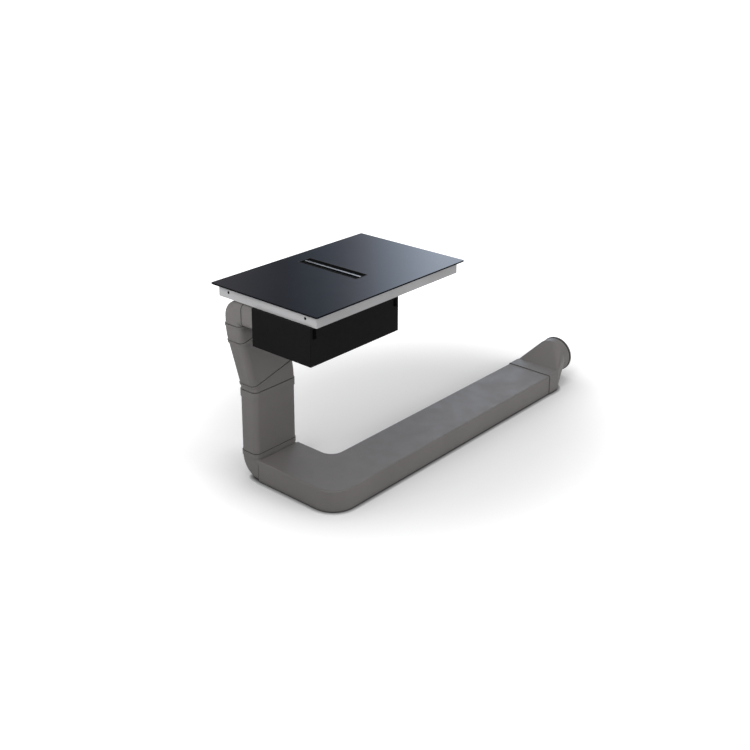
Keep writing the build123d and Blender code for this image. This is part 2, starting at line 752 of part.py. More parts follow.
flange_place = spigot_place.offset(-casing_sheet - spigot_flange_thickness)
spigot_reach = spigot_length + casing_sheet + spigot_flange_thickness
spigot = extrude(section(flange_place, 0), spigot_reach)
flange = flange_place * RectangleRounded(duct_width + 2 * spigot_flange, duct_depth + 2 * spigot_flange,
                                         duct_corner + spigot_flange)
spigot += extrude(flange, spigot_flange_thickness)
spigot -= extrude(section(flange_place, duct_wall), spigot_reach)
spigot -= seam_slab(spigot_seam)

# the flap turns on a pin just under the rounded top corners, with a short balance part above it
knuckle_radius = flap_pin_radius + running_clearance + flap_knuckle_wall
flap_pin_y = casing_rear + flap_setback
flap_pin_z = duct_top - duct_corner - knuckle_radius
flap_left = spigot_inner_left + flap_gap
flap_right = spigot_inner_right - flap_gap
flap_front = flap_pin_y - flap_thickness / 2
stop_place = spigot_place.offset(flap_front - fit_gap - flap_stop_thickness - casing_rear)
stop = extrude(section(stop_place, duct_wall / 2), flap_stop_thickness)
stop &= block((spigot_left, spigot_right), (flap_front - duct_depth, flap_front),
              (spigot_inner_bottom - duct_wall, spigot_inner_bottom + flap_stop_height))
keep("outlet_spigot", spigot + stop)

pin_length = spigot_inner_right - spigot_inner_left
flap_pin = rod(flap_pin_radius, (spigot_inner_left, flap_pin_y, flap_pin_z), pin_length, (1, 0, 0))
keep("flap_pin", flap_pin)

flap_place = spigot_place.offset(flap_front - casing_rear)
flap = extrude(section(flap_place, duct_wall + flap_gap), flap_thickness)
flap += rod(knuckle_radius, (flap_left, flap_pin_y, flap_pin_z), flap_right - flap_left, (1, 0, 0))
flap -= rod(flap_pin_radius + running_clearance, (flap_left, flap_pin_y, flap_pin_z),
            flap_right - flap_left, (1, 0, 0))
keep("backdraft_flap", flap)

# ---------------------------------------------------------------- the duct run, from fan to outlet
down = Vector(0, 0, -1)
front = Vector(0, -1, 0)
along = Vector(1, 0, 0)
seams = {"spigot": spigot_seam}


def keep_duct(name, body, start, end):
    """Store a duct piece, cut back by half a rib at each jointed end."""
    keep(name, body - seam_slab(start) - seam_slab(end))


entry = spigot_seam
upper_elbow, seam = square_corner(entry, down, duct_depth, duct_width, upper_elbow_lead_in,
                                  upper_elbow_lead_out, upper_elbow_radius, elbow_inner_radius,
                                  duct_corner)
keep_duct("upper_elbow", upper_elbow, entry, seam)
seams["upper_elbow"] = seam

entry = seam
upper_bend, seam = side_bend(entry, 1, upper_bend_radius)
keep_duct("upper_bend", upper_bend + rim(entry, upper_bend_rim), entry, seam)
seams["upper_bend"] = seam

entry = seam
inclined_duct, seam = straight_duct(entry, inclined_length)
keep_duct("inclined_duct", inclined_duct + rim(entry, inclined_rim), entry, seam)
seams["inclined_duct"] = seam

entry = seam
lower_bend, seam = side_bend(entry, -1, lower_bend_radius)
keep_duct("lower_bend", lower_bend + rim(entry, lower_bend_rim), entry, seam)
seams["lower_bend"] = seam

entry = seam
vertical_length = entry.origin.Z - duct_depth - floor_elbow_lead_in
vertical_duct, seam = straight_duct(entry, vertical_length)
keep_duct("vertical_duct", vertical_duct + rim(entry, vertical_rim), entry, seam)
seams["vertical_duct"] = seam

entry = seam
floor_elbow, seam = square_corner(entry, front, duct_depth, duct_width, floor_elbow_lead_in,
                                  floor_elbow_lead_out, floor_elbow_radius, elbow_inner_radius,
                                  duct_corner)
keep_duct("floor_elbow", floor_elbow + rim(entry, floor_elbow_rim), entry, seam)
seams["floor_elbow"] = seam

# the floor pieces have sharper edges, and the corner meets the long duct in a butt joint
floor_corner, seam = square_corner(seam, along, duct_width, duct_depth, corner_lead_in,
                                   corner_lead_out, corner_outer_radius, corner_inner_radius,
                                   floor_duct_corner)
keep("floor_corner", floor_corner - seam_slab(seams["floor_elbow"]))
seams["floor_corner"] = seam

floor_duct, seam = straight_duct(seam, floor_duct_length, floor_duct_corner)
keep("floor_duct", floor_duct - seam_slab(seam))
seams["floor_duct"] = seam

upper_rings = [
    joint_ring(seams["spigot"], ring_sleeve, upper_elbow_lead_in - ring_rib),
    joint_ring(seams["upper_elbow"], upper_elbow_lead_out - ring_rib, ring_bend_sleeve),
    joint_ring(seams["upper_bend"], ring_bend_sleeve, ring_sleeve),
    joint_ring(seams["inclined_duct"], ring_sleeve, ring_bend_sleeve),
    joint_ring(seams["lower_bend"], ring_bend_sleeve, ring_sleeve),
]
floor_rings = [
    joint_ring(seams["vertical_duct"], ring_sleeve, ring_sleeve),
    joint_ring(seams["floor_elbow"], floor_elbow_lead_out - ring_rib, ring_sleeve),
    joint_sleeve(seams["floor_corner"], ring_sleeve, ring_sleeve, floor_duct_corner),
    joint_ring(seams["floor_duct"], ring_sleeve, ring_sleeve, floor_duct_corner),
]
keep("joint_rings_upper", Compound(upper_rings))
keep("joint_rings_floor", Compound(floor_rings))


# ---------------------------------------------------------------- round adapter at the outlet
def eight_edge_face(place, half_width, half_height, corner):
    """A face with eight edges: four sides and four round corners, as a rounded rectangle."""
    x0, y0 = half_width - corner, half_height - corner
    bulge = corner * sqrt(0.5)
    edges = []
    for quarter in range(4):
        turn = radians(90 * quarter)
        flip = quarter % 2
        side_reach = half_height if flip else half_width
        side_half = x0 if flip else y0
        next_half = y0 if flip else x0
        raw = [(side_reach, -side_half), (side_reach, side_half)]
        raw.append((side_reach - corner + bulge, side_half + bulge))
        raw.append((next_half, side_half + corner))
        turned = [(x * cos(turn) - y * sin(turn), x * sin(turn) + y * cos(turn)) for x, y in raw]
        edges.append(Line(turned[0], turned[1]))
        edges.append(ThreePointArc(turned[1], turned[2], turned[3]))
    return place * make_face(edges)


def eight_arc_circle(place, radius):
    """A circle in eight arcs, with a short one for each flat side of the duct."""
    edges = []
    for quarter in range(4):
        start = 90 * quarter - adapter_facet / 2
        short_arc = [start, 90 * quarter, start + adapter_facet]
        long_arc = [start + adapter_facet, 90 * quarter + 45, start + 90]
        for stops in (short_arc, long_arc):
            points = [(radius * cos(radians(a)), radius * sin(radians(a))) for a in stops]
            edges.append(ThreePointArc(*points))
    return place * make_face(edges)


adapter_end = seam.offset(adapter_collar_length)
cone_end = adapter_end.offset(adapter_cone_length)
socket_centre = cone_end.origin + cone_end.y_dir * adapter_rise
socket_place = Plane(origin=socket_centre, x_dir=cone_end.x_dir, z_dir=cone_end.z_dir)
socket_outer_radius = socket_bore_radius + socket_wall
cone_inner_radius = socket_bore_radius - socket_wall


def cone(inset, radius):
    """The adapter's cone from the flat section to a circle, as a full solid."""
    half_width = duct_width / 2 - inset
    half_height = duct_depth / 2 - inset
    face = eight_edge_face(adapter_end, half_width, half_height, floor_duct_corner - inset)
    return loft([face, eight_arc_circle(socket_place, radius)], ruled=True)


# the collar stands proud of the duct at its top and sides, and is flush with the floor
collar_start = seam.offset(ring_rib / 2)
collar_outline = RectangleRounded(duct_width + 2 * collar_rise, duct_depth + collar_rise,
                                  floor_duct_corner + collar_rise / 2)
collar_outer = collar_start * (Pos(0, collar_rise / 2) * collar_outline)
collar_bore = section(collar_start, duct_wall, floor_duct_corner)
adapter = extrude(collar_outer - collar_bore, adapter_collar_length - ring_rib / 2)
adapter += cone(0, socket_outer_radius) - cone(duct_wall, cone_inner_radius)
socket_face = socket_place * (Circle(socket_outer_radius) - Circle(socket_bore_radius))
socket_ring = extrude(socket_face, socket_length)
bead_place = socket_place.offset(socket_length - socket_bead_length)
bead_face = bead_place * (Circle(socket_outer_radius + socket_bead) - Circle(socket_bore_radius))
adapter += socket_ring + extrude(bead_face, socket_bead_length)
keep("round_adapter", adapter)

# ---------------------------------------------------------------- origin and export
part_left = -glass_length / 2
part_right = socket_place.origin.X + socket_length
part_rear = glass_width / 2
part_front = seam.origin.Y - duct_width / 2 - collar_rise
origin_x = (part_left + part_right) / 2
origin_y = (part_front + part_rear) / 2

for name, shape in nodes.items():
    moved = [Pos(-origin_x, -origin_y, 0) * solid for solid in shape.solids()]
    export_step(moved[0] if len(moved) == 1 else Compound(moved), f"parts/{name}.step")
print(len(nodes), "pieces; the hob centre is at", round(-origin_x, 3), round(-origin_y, 3))
part_size = (part_right - part_left, part_rear - part_front, glass_top)
print("part", " x ".join(str(round(side, 1)) for side in part_size))
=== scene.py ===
# %% [markdown]
# # Finishing a downdraft vent
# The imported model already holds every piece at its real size: the glass hob, the fan casing under it
# and the flat duct that drops to the floor. What it lacks is finish. Here each piece gets the surface
# that it has on the real object, the thin sheet and wire details that are too fine for the solid
# model are added as meshes, and a plain studio is built round it.

# %% Load the frame
import json
from math import cos, pi, radians, sin

import bmesh
import bpy
from mathutils import Matrix, Vector


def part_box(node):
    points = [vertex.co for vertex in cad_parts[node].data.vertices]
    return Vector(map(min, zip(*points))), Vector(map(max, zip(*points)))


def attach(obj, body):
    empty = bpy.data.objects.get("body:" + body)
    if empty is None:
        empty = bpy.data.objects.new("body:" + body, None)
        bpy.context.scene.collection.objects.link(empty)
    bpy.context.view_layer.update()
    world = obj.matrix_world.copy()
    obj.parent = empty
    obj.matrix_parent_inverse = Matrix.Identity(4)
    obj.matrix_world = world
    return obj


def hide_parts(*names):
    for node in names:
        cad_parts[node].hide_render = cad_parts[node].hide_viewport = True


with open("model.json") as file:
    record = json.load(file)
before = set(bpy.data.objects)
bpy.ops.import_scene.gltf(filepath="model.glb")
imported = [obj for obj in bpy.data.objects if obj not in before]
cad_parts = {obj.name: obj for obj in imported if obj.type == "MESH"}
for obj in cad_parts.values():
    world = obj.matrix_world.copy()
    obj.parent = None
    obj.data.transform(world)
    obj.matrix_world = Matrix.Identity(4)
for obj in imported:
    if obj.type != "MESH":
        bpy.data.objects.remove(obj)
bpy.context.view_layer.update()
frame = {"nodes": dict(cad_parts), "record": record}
parts = frame["nodes"]
MM = 0.001

# %% [markdown]
# ## The camera
# A product picture is often taken with a shifted lens: the camera looks down less than it would have
# to, so that upright edges stay closer to upright, and the picture's window is slid down to the object.
# The place, the turn and the tilt below were worked out from the straight edges in the reference
# picture. A camera can be aimed with a Track To constraint, but a matrix made from its forward
# direction also takes the small roll, so that is what is built here.

# %% Place the camera
CAMERA_PLACE = Vector((-3.4378, -2.7741, 2.210))
CAMERA_TURN = radians(48.91)
CAMERA_TILT = radians(-18.55)
CAMERA_ROLL = radians(0.22)
CAMERA_LENS = 54.71
CAMERA_SHIFT = -0.15
SENSOR_WIDTH = 36.0


def place_object(name, data):
    """A new object that carries the given data, linked into the scene."""
    made = bpy.data.objects.new(name, data)
    bpy.context.scene.collection.objects.link(made)
    return made


level_forward = Vector((sin(CAMERA_TURN), cos(CAMERA_TURN), 0.0))
forward = level_forward * cos(CAMERA_TILT) + Vector((0.0, 0.0, sin(CAMERA_TILT)))
level_right = Vector((cos(CAMERA_TURN), -sin(CAMERA_TURN), 0.0))
level_up = level_right.cross(forward)
right = level_right * cos(CAMERA_ROLL) + level_up * sin(CAMERA_ROLL)
up = level_up * cos(CAMERA_ROLL) - level_right * sin(CAMERA_ROLL)

camera_data = bpy.data.cameras.new("camera")
camera_data.sensor_width = SENSOR_WIDTH
camera_data.lens = CAMERA_LENS
camera_data.shift_y = CAMERA_SHIFT
camera = place_object("camera", camera_data)
turn = Matrix((right, up, -forward)).transposed().to_4x4()
camera.matrix_world = Matrix.Translation(CAMERA_PLACE) @ turn
bpy.context.scene.camera = camera
print("camera", [round(v, 3) for v in CAMERA_PLACE], "lens", CAMERA_LENS)

# %% [markdown]
# ## Building materials from nodes
# A finish is more than a colour: coated sheet has a faint orange peel, moulded plastic a fine grain,
# brushed steel long scratches. Image textures could carry all of these, but patterns made by nodes need
# no files and hold up at any distance. Every node is made, set and linked in the same few lines, so
# four small helpers do it: they fill a socket, add a node, work out a number and carry a number from
# one span onto another.

# %% Node helpers
def feed(owner, socket, value):
    """Fill a socket: another socket is linked to it, a plain value is set on it."""
    if isinstance(value, bpy.types.NodeSocket):
        owner.node_tree.links.new(value, socket)
    else:
        socket.default_value = value


def node(owner, kind, **inputs):
    """A new node of a material or a world, with the named inputs filled."""
    made = owner.node_tree.nodes.new(kind)
    for name, value in inputs.items():
        feed(owner, made.inputs[name], value)
    return made


def worked_out(owner, operation, *values):
    """The result of one operation on sockets or plain numbers."""
    step = node(owner, "ShaderNodeMath")
    step.operation = operation
    for socket, value in zip(step.inputs, values):
        feed(owner, socket, value)
    return step.outputs["Value"]


def spread(owner, value, start, end, low, high, curve="LINEAR"):
    """A value carried from the span start to end onto the span low to high, and held at its ends."""
    made = node(owner, "ShaderNodeMapRange", **{
        "Value": value, "From Min": start, "From Max": end, "To Min": low, "To Max": high})
    made.interpolation_type = curve
    return made.outputs["Result"]


print("node helpers ready")

# %% [markdown]
# ## Colours from a screen
# A colour picked from a picture is stored along a curve that suits the eye, while a shader counts in
# plain amounts of light. Typing the picked values straight into a shader would make every finish too
# pale, so one helper undoes the curve. A second one makes the darker and lighter tones of a colour, and
# a third does the same inside a material, where the factor may come from another node.

# %% Colour helpers
def screen(red, green, blue):
    """A colour read off a screen, 0 to 255, as the linear colour that a shader takes."""
    linear = []
    for value in (red, green, blue):
        share = value / 255
        linear.append(share / 12.92 if share <= 0.04045 else ((share + 0.055) / 1.055) ** 2.4)
    return (*linear, 1.0)


def shade(color, factor):
    """The same colour, darker or lighter by a factor."""
    return (color[0] * factor, color[1] * factor, color[2] * factor, 1.0)


def scaled_color(owner, color, factor):
    """A colour inside a material, multiplied by a factor. Both may be sockets."""
    step = node(owner, "ShaderNodeVectorMath")
    step.operation = "SCALE"
    feed(owner, step.inputs["Vector"], color)
    feed(owner, step.inputs["Scale"], factor)
    return step.outputs["Vector"]


print("middle grey of a screen is", round(screen(128, 128, 128)[0], 3), "of the light")

# %% [markdown]
# ## Surfaces
# One shader node makes every surface here. On the real pieces neither colour nor gloss is ever quite
# even, so a noise pattern can be joined to the colour, to the gloss, or to a fine relief. The relief
# could be cut into the mesh, but it is finer than any mesh should be: a Bump node only tips the
# light's direction, which looks the same and costs nothing.

# %% Surface helpers
SHADER = "Principled BSDF"
PLAIN_SHEEN = 0.5
TINT_STOPS = (0.35, 0.65)
GLOSS_STOPS = (0.3, 0.7)


def surface_input(material, name):
    """An input of the material's own shader."""
    return material.node_tree.nodes[SHADER].inputs[name]


def finish(name, color, roughness, metallic=0.0, ior=1.5, sheen=PLAIN_SHEEN):
    """A new material: one shader with its own even values set."""
    material = bpy.data.materials.new(name)
    material.use_nodes = True
    material.diffuse_color = color
    values = {"Base Color": color, "Roughness": roughness, "Metallic": metallic, "IOR": ior,
              "Specular IOR Level": sheen}
    for socket_name, value in values.items():
        surface_input(material, socket_name).default_value = value
    return material


def noise(material, scale, stretch=(1, 1, 1), detail=3.0):
    """A cloudy pattern in the object's own metres, stretched along an axis by a small number there."""
    place = node(material, "ShaderNodeTexCoord")
    mapping = node(material, "ShaderNodeMapping", Vector=place.outputs["Object"], Scale=stretch)
    pattern = node(material, "ShaderNodeTexNoise", Vector=mapping.outputs["Vector"], Scale=scale,
                   Detail=detail)
    return pattern.outputs["Fac"]


def tint(material, pattern, color, tones):
    """Colour that follows a pattern, from the darker of two shares of it to the lighter."""
    ramp = node(material, "ShaderNodeValToRGB", Fac=pattern)
    for stop, position, tone in zip(ramp.color_ramp.elements, TINT_STOPS, tones):
        stop.position = position
        stop.color = shade(color, tone)
    feed(material, surface_input(material, "Base Color"), ramp.outputs["Color"])


def gloss(material, pattern, low, high):
    """Roughness that follows a pattern, from low to high."""
    feed(material, surface_input(material, "Roughness"), spread(material, pattern, *GLOSS_STOPS, low, high))


def relief(material, pattern, height, strength):
    """Fine relief from a pattern, with its height in metres."""
    bump = node(material, "ShaderNodeBump", Height=pattern, Distance=height, Strength=strength)
    feed(material, surface_input(material, "Normal"), bump.outputs["Normal"])


def upward(material):
    """How far the surface faces up: 1 on a level top, 0 on an upright side, -1 underneath."""
    place = node(material, "ShaderNodeTexCoord")
    direction = node(material, "ShaderNodeSeparateXYZ", Vector=place.outputs["Normal"])
    return direction.outputs["Z"]


print("surface helpers ready")

# %% [markdown]
# ## The glass
# The plate is black ceramic glass. It is polished, so almost all that is seen of it is what it
# reflects. Its own colour is nearly black with a trace of blue. An even, perfect mirror would be
# simple to make, but it looks like a hole in the picture. Wiping leaves faint differences in gloss on
# real glass, so the roughness follows a broad soft noise, and the sheet is very slightly uneven, as
# rolled glass is.

# %% Black ceramic glass
GLASS_COLOR = screen(12, 13, 16)
GLASS_IOR = 1.52
GLASS_ROUGHNESS = (0.08, 0.13)
WIPE_SCALE = 9.0
ROLL_SCALE = 6.0
ROLL_HEIGHT = 0.3 * MM
black_glass = finish("black_ceramic_glass", GLASS_COLOR, 0.10, ior=GLASS_IOR)
gloss(black_glass, noise(black_glass, WIPE_SCALE, detail=4.0), *GLASS_ROUGHNESS)
relief(black_glass, noise(black_glass, ROLL_SCALE, detail=1.0), ROLL_HEIGHT, strength=0.2)
print("glass", [round(v, 4) for v in GLASS_COLOR[:3]])

# %% [markdown]
# ## The ground edge of the glass
# The cut edge of the plate is ground, not polished, and draws a dull black line. It could be a second
# material on the faces of the edge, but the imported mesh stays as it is. The surface's own direction
# tells the edge from the face as well: wherever it turns away from level, the gloss goes.

# %% Ground edge
EDGE_LEVEL = 0.85
FACE_LEVEL = 0.95
EDGE_ROUGHNESS = 0.5
EDGE_SHEEN = 0.04
levelness = worked_out(black_glass, "ABSOLUTE", upward(black_glass))


def edge_to_face(at_edge, at_face):
    """A value that changes from the ground edge to the polished face."""
    return spread(black_glass, levelness, EDGE_LEVEL, FACE_LEVEL, at_edge, at_face)


glass_roughness = surface_input(black_glass, "Roughness")
glass_sheen = surface_input(black_glass, "Specular IOR Level")
polish = glass_roughness.links[0].from_socket
ground = worked_out(black_glass, "ADD", edge_to_face(EDGE_ROUGHNESS, 0.0), polish)
feed(black_glass, glass_roughness, ground)
feed(black_glass, glass_sheen, edge_to_face(EDGE_SHEEN, PLAIN_SHEEN))
print("the edge is ground where the surface is less than", EDGE_LEVEL, "level")

# %% [markdown]
# ## The coated sheet
# Tray and casing are folded from thin sheet and powder coated. The powder melts into a skin with a
# very fine orange peel, and wears a little lighter in broad patches. Plain grey and plain black would
# give the tones, but no clue to the material, so three noises of different size stand for wear, gloss
# and peel. One function makes both coats, because they differ only in colour, gloss and sheen.

# %% Powder coats
WEAR_SCALE = 5.0
WEAR_TONES = (0.93, 1.05)
COAT_GLOSS_SCALE = 60.0
COAT_GLOSS_CHANGE = 0.05
PEEL_SCALE = 420.0
PEEL_HEIGHT = 0.06 * MM


def powder_coat(name, color, roughness, sheen=PLAIN_SHEEN):
    """Powder coated sheet steel with a fine orange peel."""
    material = finish(name, color, roughness, sheen=sheen)
    tint(material, noise(material, WEAR_SCALE), color, WEAR_TONES)
    gloss(material, noise(material, COAT_GLOSS_SCALE), roughness - COAT_GLOSS_CHANGE,
          roughness + COAT_GLOSS_CHANGE)
    relief(material, noise(material, PEEL_SCALE, detail=1.0), PEEL_HEIGHT, strength=0.6)
    return material


tray_coat = powder_coat("light_grey_coat", screen(171, 171, 172), 0.42)
casing_coat = powder_coat("satin_black_coat", screen(18, 18, 18), 0.50, sheen=0.06)
print("coats", tray_coat.name, casing_coat.name)

# %% [markdown]
# ## The moulded plastic
# The flat duct is moulded in a warm dark grey with a smooth skin. Mouldings of this size show slow
# changes of gloss where the melt flowed, and a dusting of grain from the tool. The small black
# mouldings round the inlet have a rougher tool texture. Painting flow marks by hand would tie them to
# one piece, while a noise in the object's own metres runs on over all the pieces of the duct.

# %% Mouldings
PLASTIC_IOR = 1.46
FLOW_SCALE = 3.0
FLOW_TONES = (0.95, 1.05)
FLOW_GLOSS_SCALE = 18.0
FLOW_GLOSS_CHANGE = 0.06
GRAIN_SCALE = 1100.0


def moulding(name, color, roughness, grain, sheen=PLAIN_SHEEN):
    """Moulded plastic: slow flow marks in the colour and a fine grain from the tool."""
    material = finish(name, color, roughness, ior=PLASTIC_IOR, sheen=sheen)
    tint(material, noise(material, FLOW_SCALE, detail=2.0), color, FLOW_TONES)
    gloss(material, noise(material, FLOW_GLOSS_SCALE), roughness - FLOW_GLOSS_CHANGE,
          roughness + FLOW_GLOSS_CHANGE)
    relief(material, noise(material, GRAIN_SCALE, detail=1.0), grain, strength=0.5)
    return material


duct_plastic = moulding("warm_grey_duct_plastic", screen(112, 109, 107), 0.42, 0.03 * MM)
black_plastic = moulding("black_grained_plastic", screen(13, 13, 14), 0.50, 0.06 * MM, sheen=0.15)
carrier_plastic = moulding("grey_carrier_plastic", screen(148, 148, 148), 0.55, 0.05 * MM)
seal_rubber = moulding("black_seal_rubber", screen(12, 12, 12), 0.72, 0.08 * MM)
trim_black = moulding("polished_black_trim", screen(20, 20, 22), 0.16, 0.01 * MM)
# A near-black without sheen: the rivet nuts' own dull black, and painted shade on the casing clips and in
# the side holes.
dull_black_and_painted_shade = moulding("dull_black_clip_and_painted_shade", screen(7, 7, 7), 0.80, 0.04 * MM, sheen=0.03)
print("mouldings", duct_plastic.name, black_plastic.name, dull_black_and_painted_shade.name)

# %% [markdown]
# ## The bare metals
# The filter, the screws and the heat sinks are plain metals with a fine, even grain. The bright bar
# along the inlet is brushed stainless steel: the brush leaves scratches along its length. An
# anisotropic shader could smear the light in the same way, but squeezing the noise to a hundredth
# along Y draws scratches that also show close up.

# %% Metals
METAL_TONES = (0.88, 1.04)
METAL_GLOSS_CHANGE = (-0.08, 0.10)
METAL_GRAIN_HEIGHT = 0.02 * MM


def bare_metal(name, color, roughness, stretch=(1, 1, 1), scale=700.0):
    """Bare metal with a grain that can be drawn out along one axis."""
    material = finish(name, color, roughness, metallic=1.0)
    grain = noise(material, scale, stretch=stretch, detail=4.0)
    tint(material, grain, color, METAL_TONES)
    gloss(material, grain, *(roughness + change for change in METAL_GLOSS_CHANGE))
    relief(material, grain, METAL_GRAIN_HEIGHT, strength=0.4)
    return material


bar_steel = bare_metal("brushed_stainless", screen(204, 202, 199), 0.26, stretch=(1, 0.01, 1), scale=1500.0)
filter_steel = bare_metal("filter_stainless", screen(198, 199, 201), 0.34)
bare_steel = bare_metal("bright_steel", screen(190, 191, 194), 0.30)
aluminium = bare_metal("plain_aluminium", screen(208, 209, 211), 0.38)
copper_wire = bare_metal("enamelled_copper", screen(198, 128, 82), 0.32, stretch=(1, 1, 0.1), scale=500.0)
print("metals", bar_steel.name, filter_steel.name)

# %% [markdown]
# ## Painted shade on the flanks of the bar
# Only the top of the bright bar keeps its bright colour. Its flanks get painted shade, so that it reads
# as one thin line in the black grille. Two materials on one bar would need its faces picked by hand.
# Darkening the colour where the surface no longer faces up does the same, and fades softly over the rounded
# edge.

# %% Flanks of the bar
FLANK_LEVEL = 0.6
TOP_LEVEL = 0.9
FLANK_SHADE = 0.05
bar_color = surface_input(bar_steel, "Base Color")
brushed_color = bar_color.links[0].from_socket
# Painted shade: the bar's colour falls to FLANK_SHADE where its surface no longer faces up.
painted_flank_shade = spread(bar_steel, upward(bar_steel), FLANK_LEVEL, TOP_LEVEL, FLANK_SHADE, 1.0)
feed(bar_steel, bar_color, scaled_color(bar_steel, brushed_color, painted_flank_shade))
print("flanks at", FLANK_SHADE, "of the bar's colour")

# %% [markdown]
# ## The circuit boards
# A board is glass fibre with a green lacquer over copper tracks. The tracks run straight and square,
# so a brick pattern drawn thin gives their look better than any noise, and no picture of a real board
# is needed.

# %% Circuit board
TRACK_WIDTH = 0.6 * MM
TRACK_LENGTH = 14.0 * MM
TRACK_SPACING = 4.0 * MM
circuit_board = finish("green_circuit_board", screen(28, 92, 56), 0.35)
board_place = node(circuit_board, "ShaderNodeTexCoord")
tracks = node(circuit_board, "ShaderNodeTexBrick", **{
    "Vector": board_place.outputs["Object"], "Scale": 1.0,
    "Color1": screen(24, 84, 50), "Color2": screen(30, 96, 58), "Mortar": screen(52, 128, 80),
    "Mortar Size": TRACK_WIDTH, "Brick Width": TRACK_LENGTH, "Row Height": TRACK_SPACING})
feed(circuit_board, surface_input(circuit_board, "Base Color"), tracks.outputs["Color"])
print("board", circuit_board.name, "with tracks of", round(TRACK_WIDTH / MM, 1), "mm")

# %% [markdown]
# ## Painting the pieces
# The record gives every piece the name of its finish. Going through that list, instead of naming the
# pieces one by one, makes sure that none is forgotten. The two spring clips on the casing are the one
# exception: they are painted a darker black without sheen, as painted shade under the tray's corner.

# %% Give each piece its finish
finishes = {
    "black_glass": black_glass,
    "seal_rubber": seal_rubber,
    "tray_grey": tray_coat,
    "black_steel": casing_coat,
    "black_plastic": black_plastic,
    "bar_steel": bar_steel,
    "filter_steel": filter_steel,
    "bare_steel": bare_steel,
    "aluminium": aluminium,
    "circuit_board": circuit_board,
    "duct_grey": duct_plastic,
    "carrier_grey": carrier_plastic,
    "copper": copper_wire,
}
for subpart in frame["record"]["subparts"]:
    piece = parts[subpart["node"]]
    piece.data.materials.clear()
    piece.data.materials.append(finishes[subpart["material_slot"]])
# The clips' darker, sheenless black is painted shade under the tray's corner.
parts["casing_clips"].data.materials[0] = dull_black_and_painted_shade

# %% [markdown]
# ## Soft edges on folded sheet
# No real edge is perfectly sharp: a folded sheet has a small bend radius, and the coat rounds it more.
# A Bevel modifier adds that rounding without touching the mesh below it, and catches the thin line of
# light that makes an edge look real. It acts only where two faces meet at a steep angle, so that the
# round holes and corners keep their smooth run.

# %% Round the sheet's edges
STEEP = radians(60)
FOLD_ROUNDING = 0.5 * MM
SMALL_ROUNDING = 0.4 * MM


def soften(name, width):
    """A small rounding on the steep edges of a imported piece."""
    bevel = parts[name].modifiers.new("soft_edges", "BEVEL")
    bevel.width = width
    bevel.segments = 2
    bevel.limit_method = "ANGLE"
    bevel.angle_limit = STEEP
    bevel.harden_normals = True
    bevel.use_clamp_overlap = True


for sheet_name in ("hob_tray", "fan_casing", "casing_lid"):
    soften(sheet_name, FOLD_ROUNDING)
for small_name in ("casing_clips", "grille_bar", "control_box"):
    soften(small_name, SMALL_ROUNDING)
print("edges rounded by", FOLD_ROUNDING / MM, "and", SMALL_ROUNDING / MM, "mm")

# %% [markdown]
# ## Adding pieces
# The small hardware is drawn as mesh code, in bmesh. Blender's ready-made shapes could be added by
# their menu commands instead, but those depend on the mode and the selection, while a bmesh stands by
# itself. Each finished piece takes its paint by the name of its finish, and rides on the body that
# carries it, so that it moves with the joints. Edges sharper than an angle stay sharp, and all else is
# smooth.

# %% Add a piece
def add_piece(name, shape, slot, body, sharp=35, paint=None):
    """A new piece from a bmesh, with its slot's paint or one of its own, on the body that carries it."""
    mesh = bpy.data.meshes.new(name)
    bmesh.ops.recalc_face_normals(shape, faces=shape.faces)
    shape.to_mesh(mesh)
    shape.free()
    mesh.polygons.foreach_set("use_smooth", [True] * len(mesh.polygons))
    mesh.set_sharp_from_angle(angle=radians(sharp))
    mesh.materials.append(paint or finishes[slot])
    piece = place_object(name, mesh)
    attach(piece, body)
    print(name, len(mesh.polygons), "faces on", body)
    return piece


def centre_of(name):
    """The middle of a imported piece's box."""
    low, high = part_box(name)
    return (low + high) / 2


print("the fan wheel turns round", [round(v, 3) for v in centre_of("fan_wheel")])

# %% [markdown]
# ## Blocks with broken edges
# Ribs and catches are small blocks. On a real moulding no edge is sharp, and a sharp one would draw no
# line of light. A cube with a Bevel modifier would do for one block, but where several blocks share one
# mesh, it is simpler to bevel each one as it is made.

# %% Blocks
BROKEN_EDGE = 0.3 * MM


def add_block(shape, low, high, broken=BROKEN_EDGE):
    """A block with broken edges between two corners."""
    size = [top - bottom for bottom, top in zip(low, high)]
    centre = [(top + bottom) / 2 for bottom, top in zip(low, high)]
    verts = bmesh.ops.create_cube(shape, size=1.0)["verts"]
    bmesh.ops.scale(shape, vec=size, verts=verts)
    bmesh.ops.translate(shape, vec=centre, verts=verts)
    edges = list({edge for vert in verts for edge in vert.link_edges})
    bmesh.ops.bevel(shape, geom=edges, offset=min(broken, min(size) / 3), segments=2, affect="EDGES")


print("blocks have edges broken by", BROKEN_EDGE / MM, "mm")

# %% [markdown]
# ## Skins between rings
# Beads and pressed covers keep their section while they run round a corner. A curve with a bevel draws
# such shapes too, but its corners are hard to hold to a size. Here each ring is a list of points, worked
# out from a rounded rectangle, and a skin of four-sided faces joins ring to ring.

# %% Skins between rings
CORNER_STEPS = 6
SMALLEST_CORNER = 0.2 * MM


def skin(shape, rings, closed=False):
    """Faces between rings of points, each ring with the same count."""
    made = [[shape.verts.new(point) for point in ring] for ring in rings]
    count = len(made[0])
    pairs = list(zip(made, made[1:]))
    if closed:
        pairs.append((made[-1], made[0]))
    for first, second in pairs:
        for i in range(count):
            j = (i + 1) % count
            shape.faces.new((first[i], first[j], second[j], second[i]))
    return made


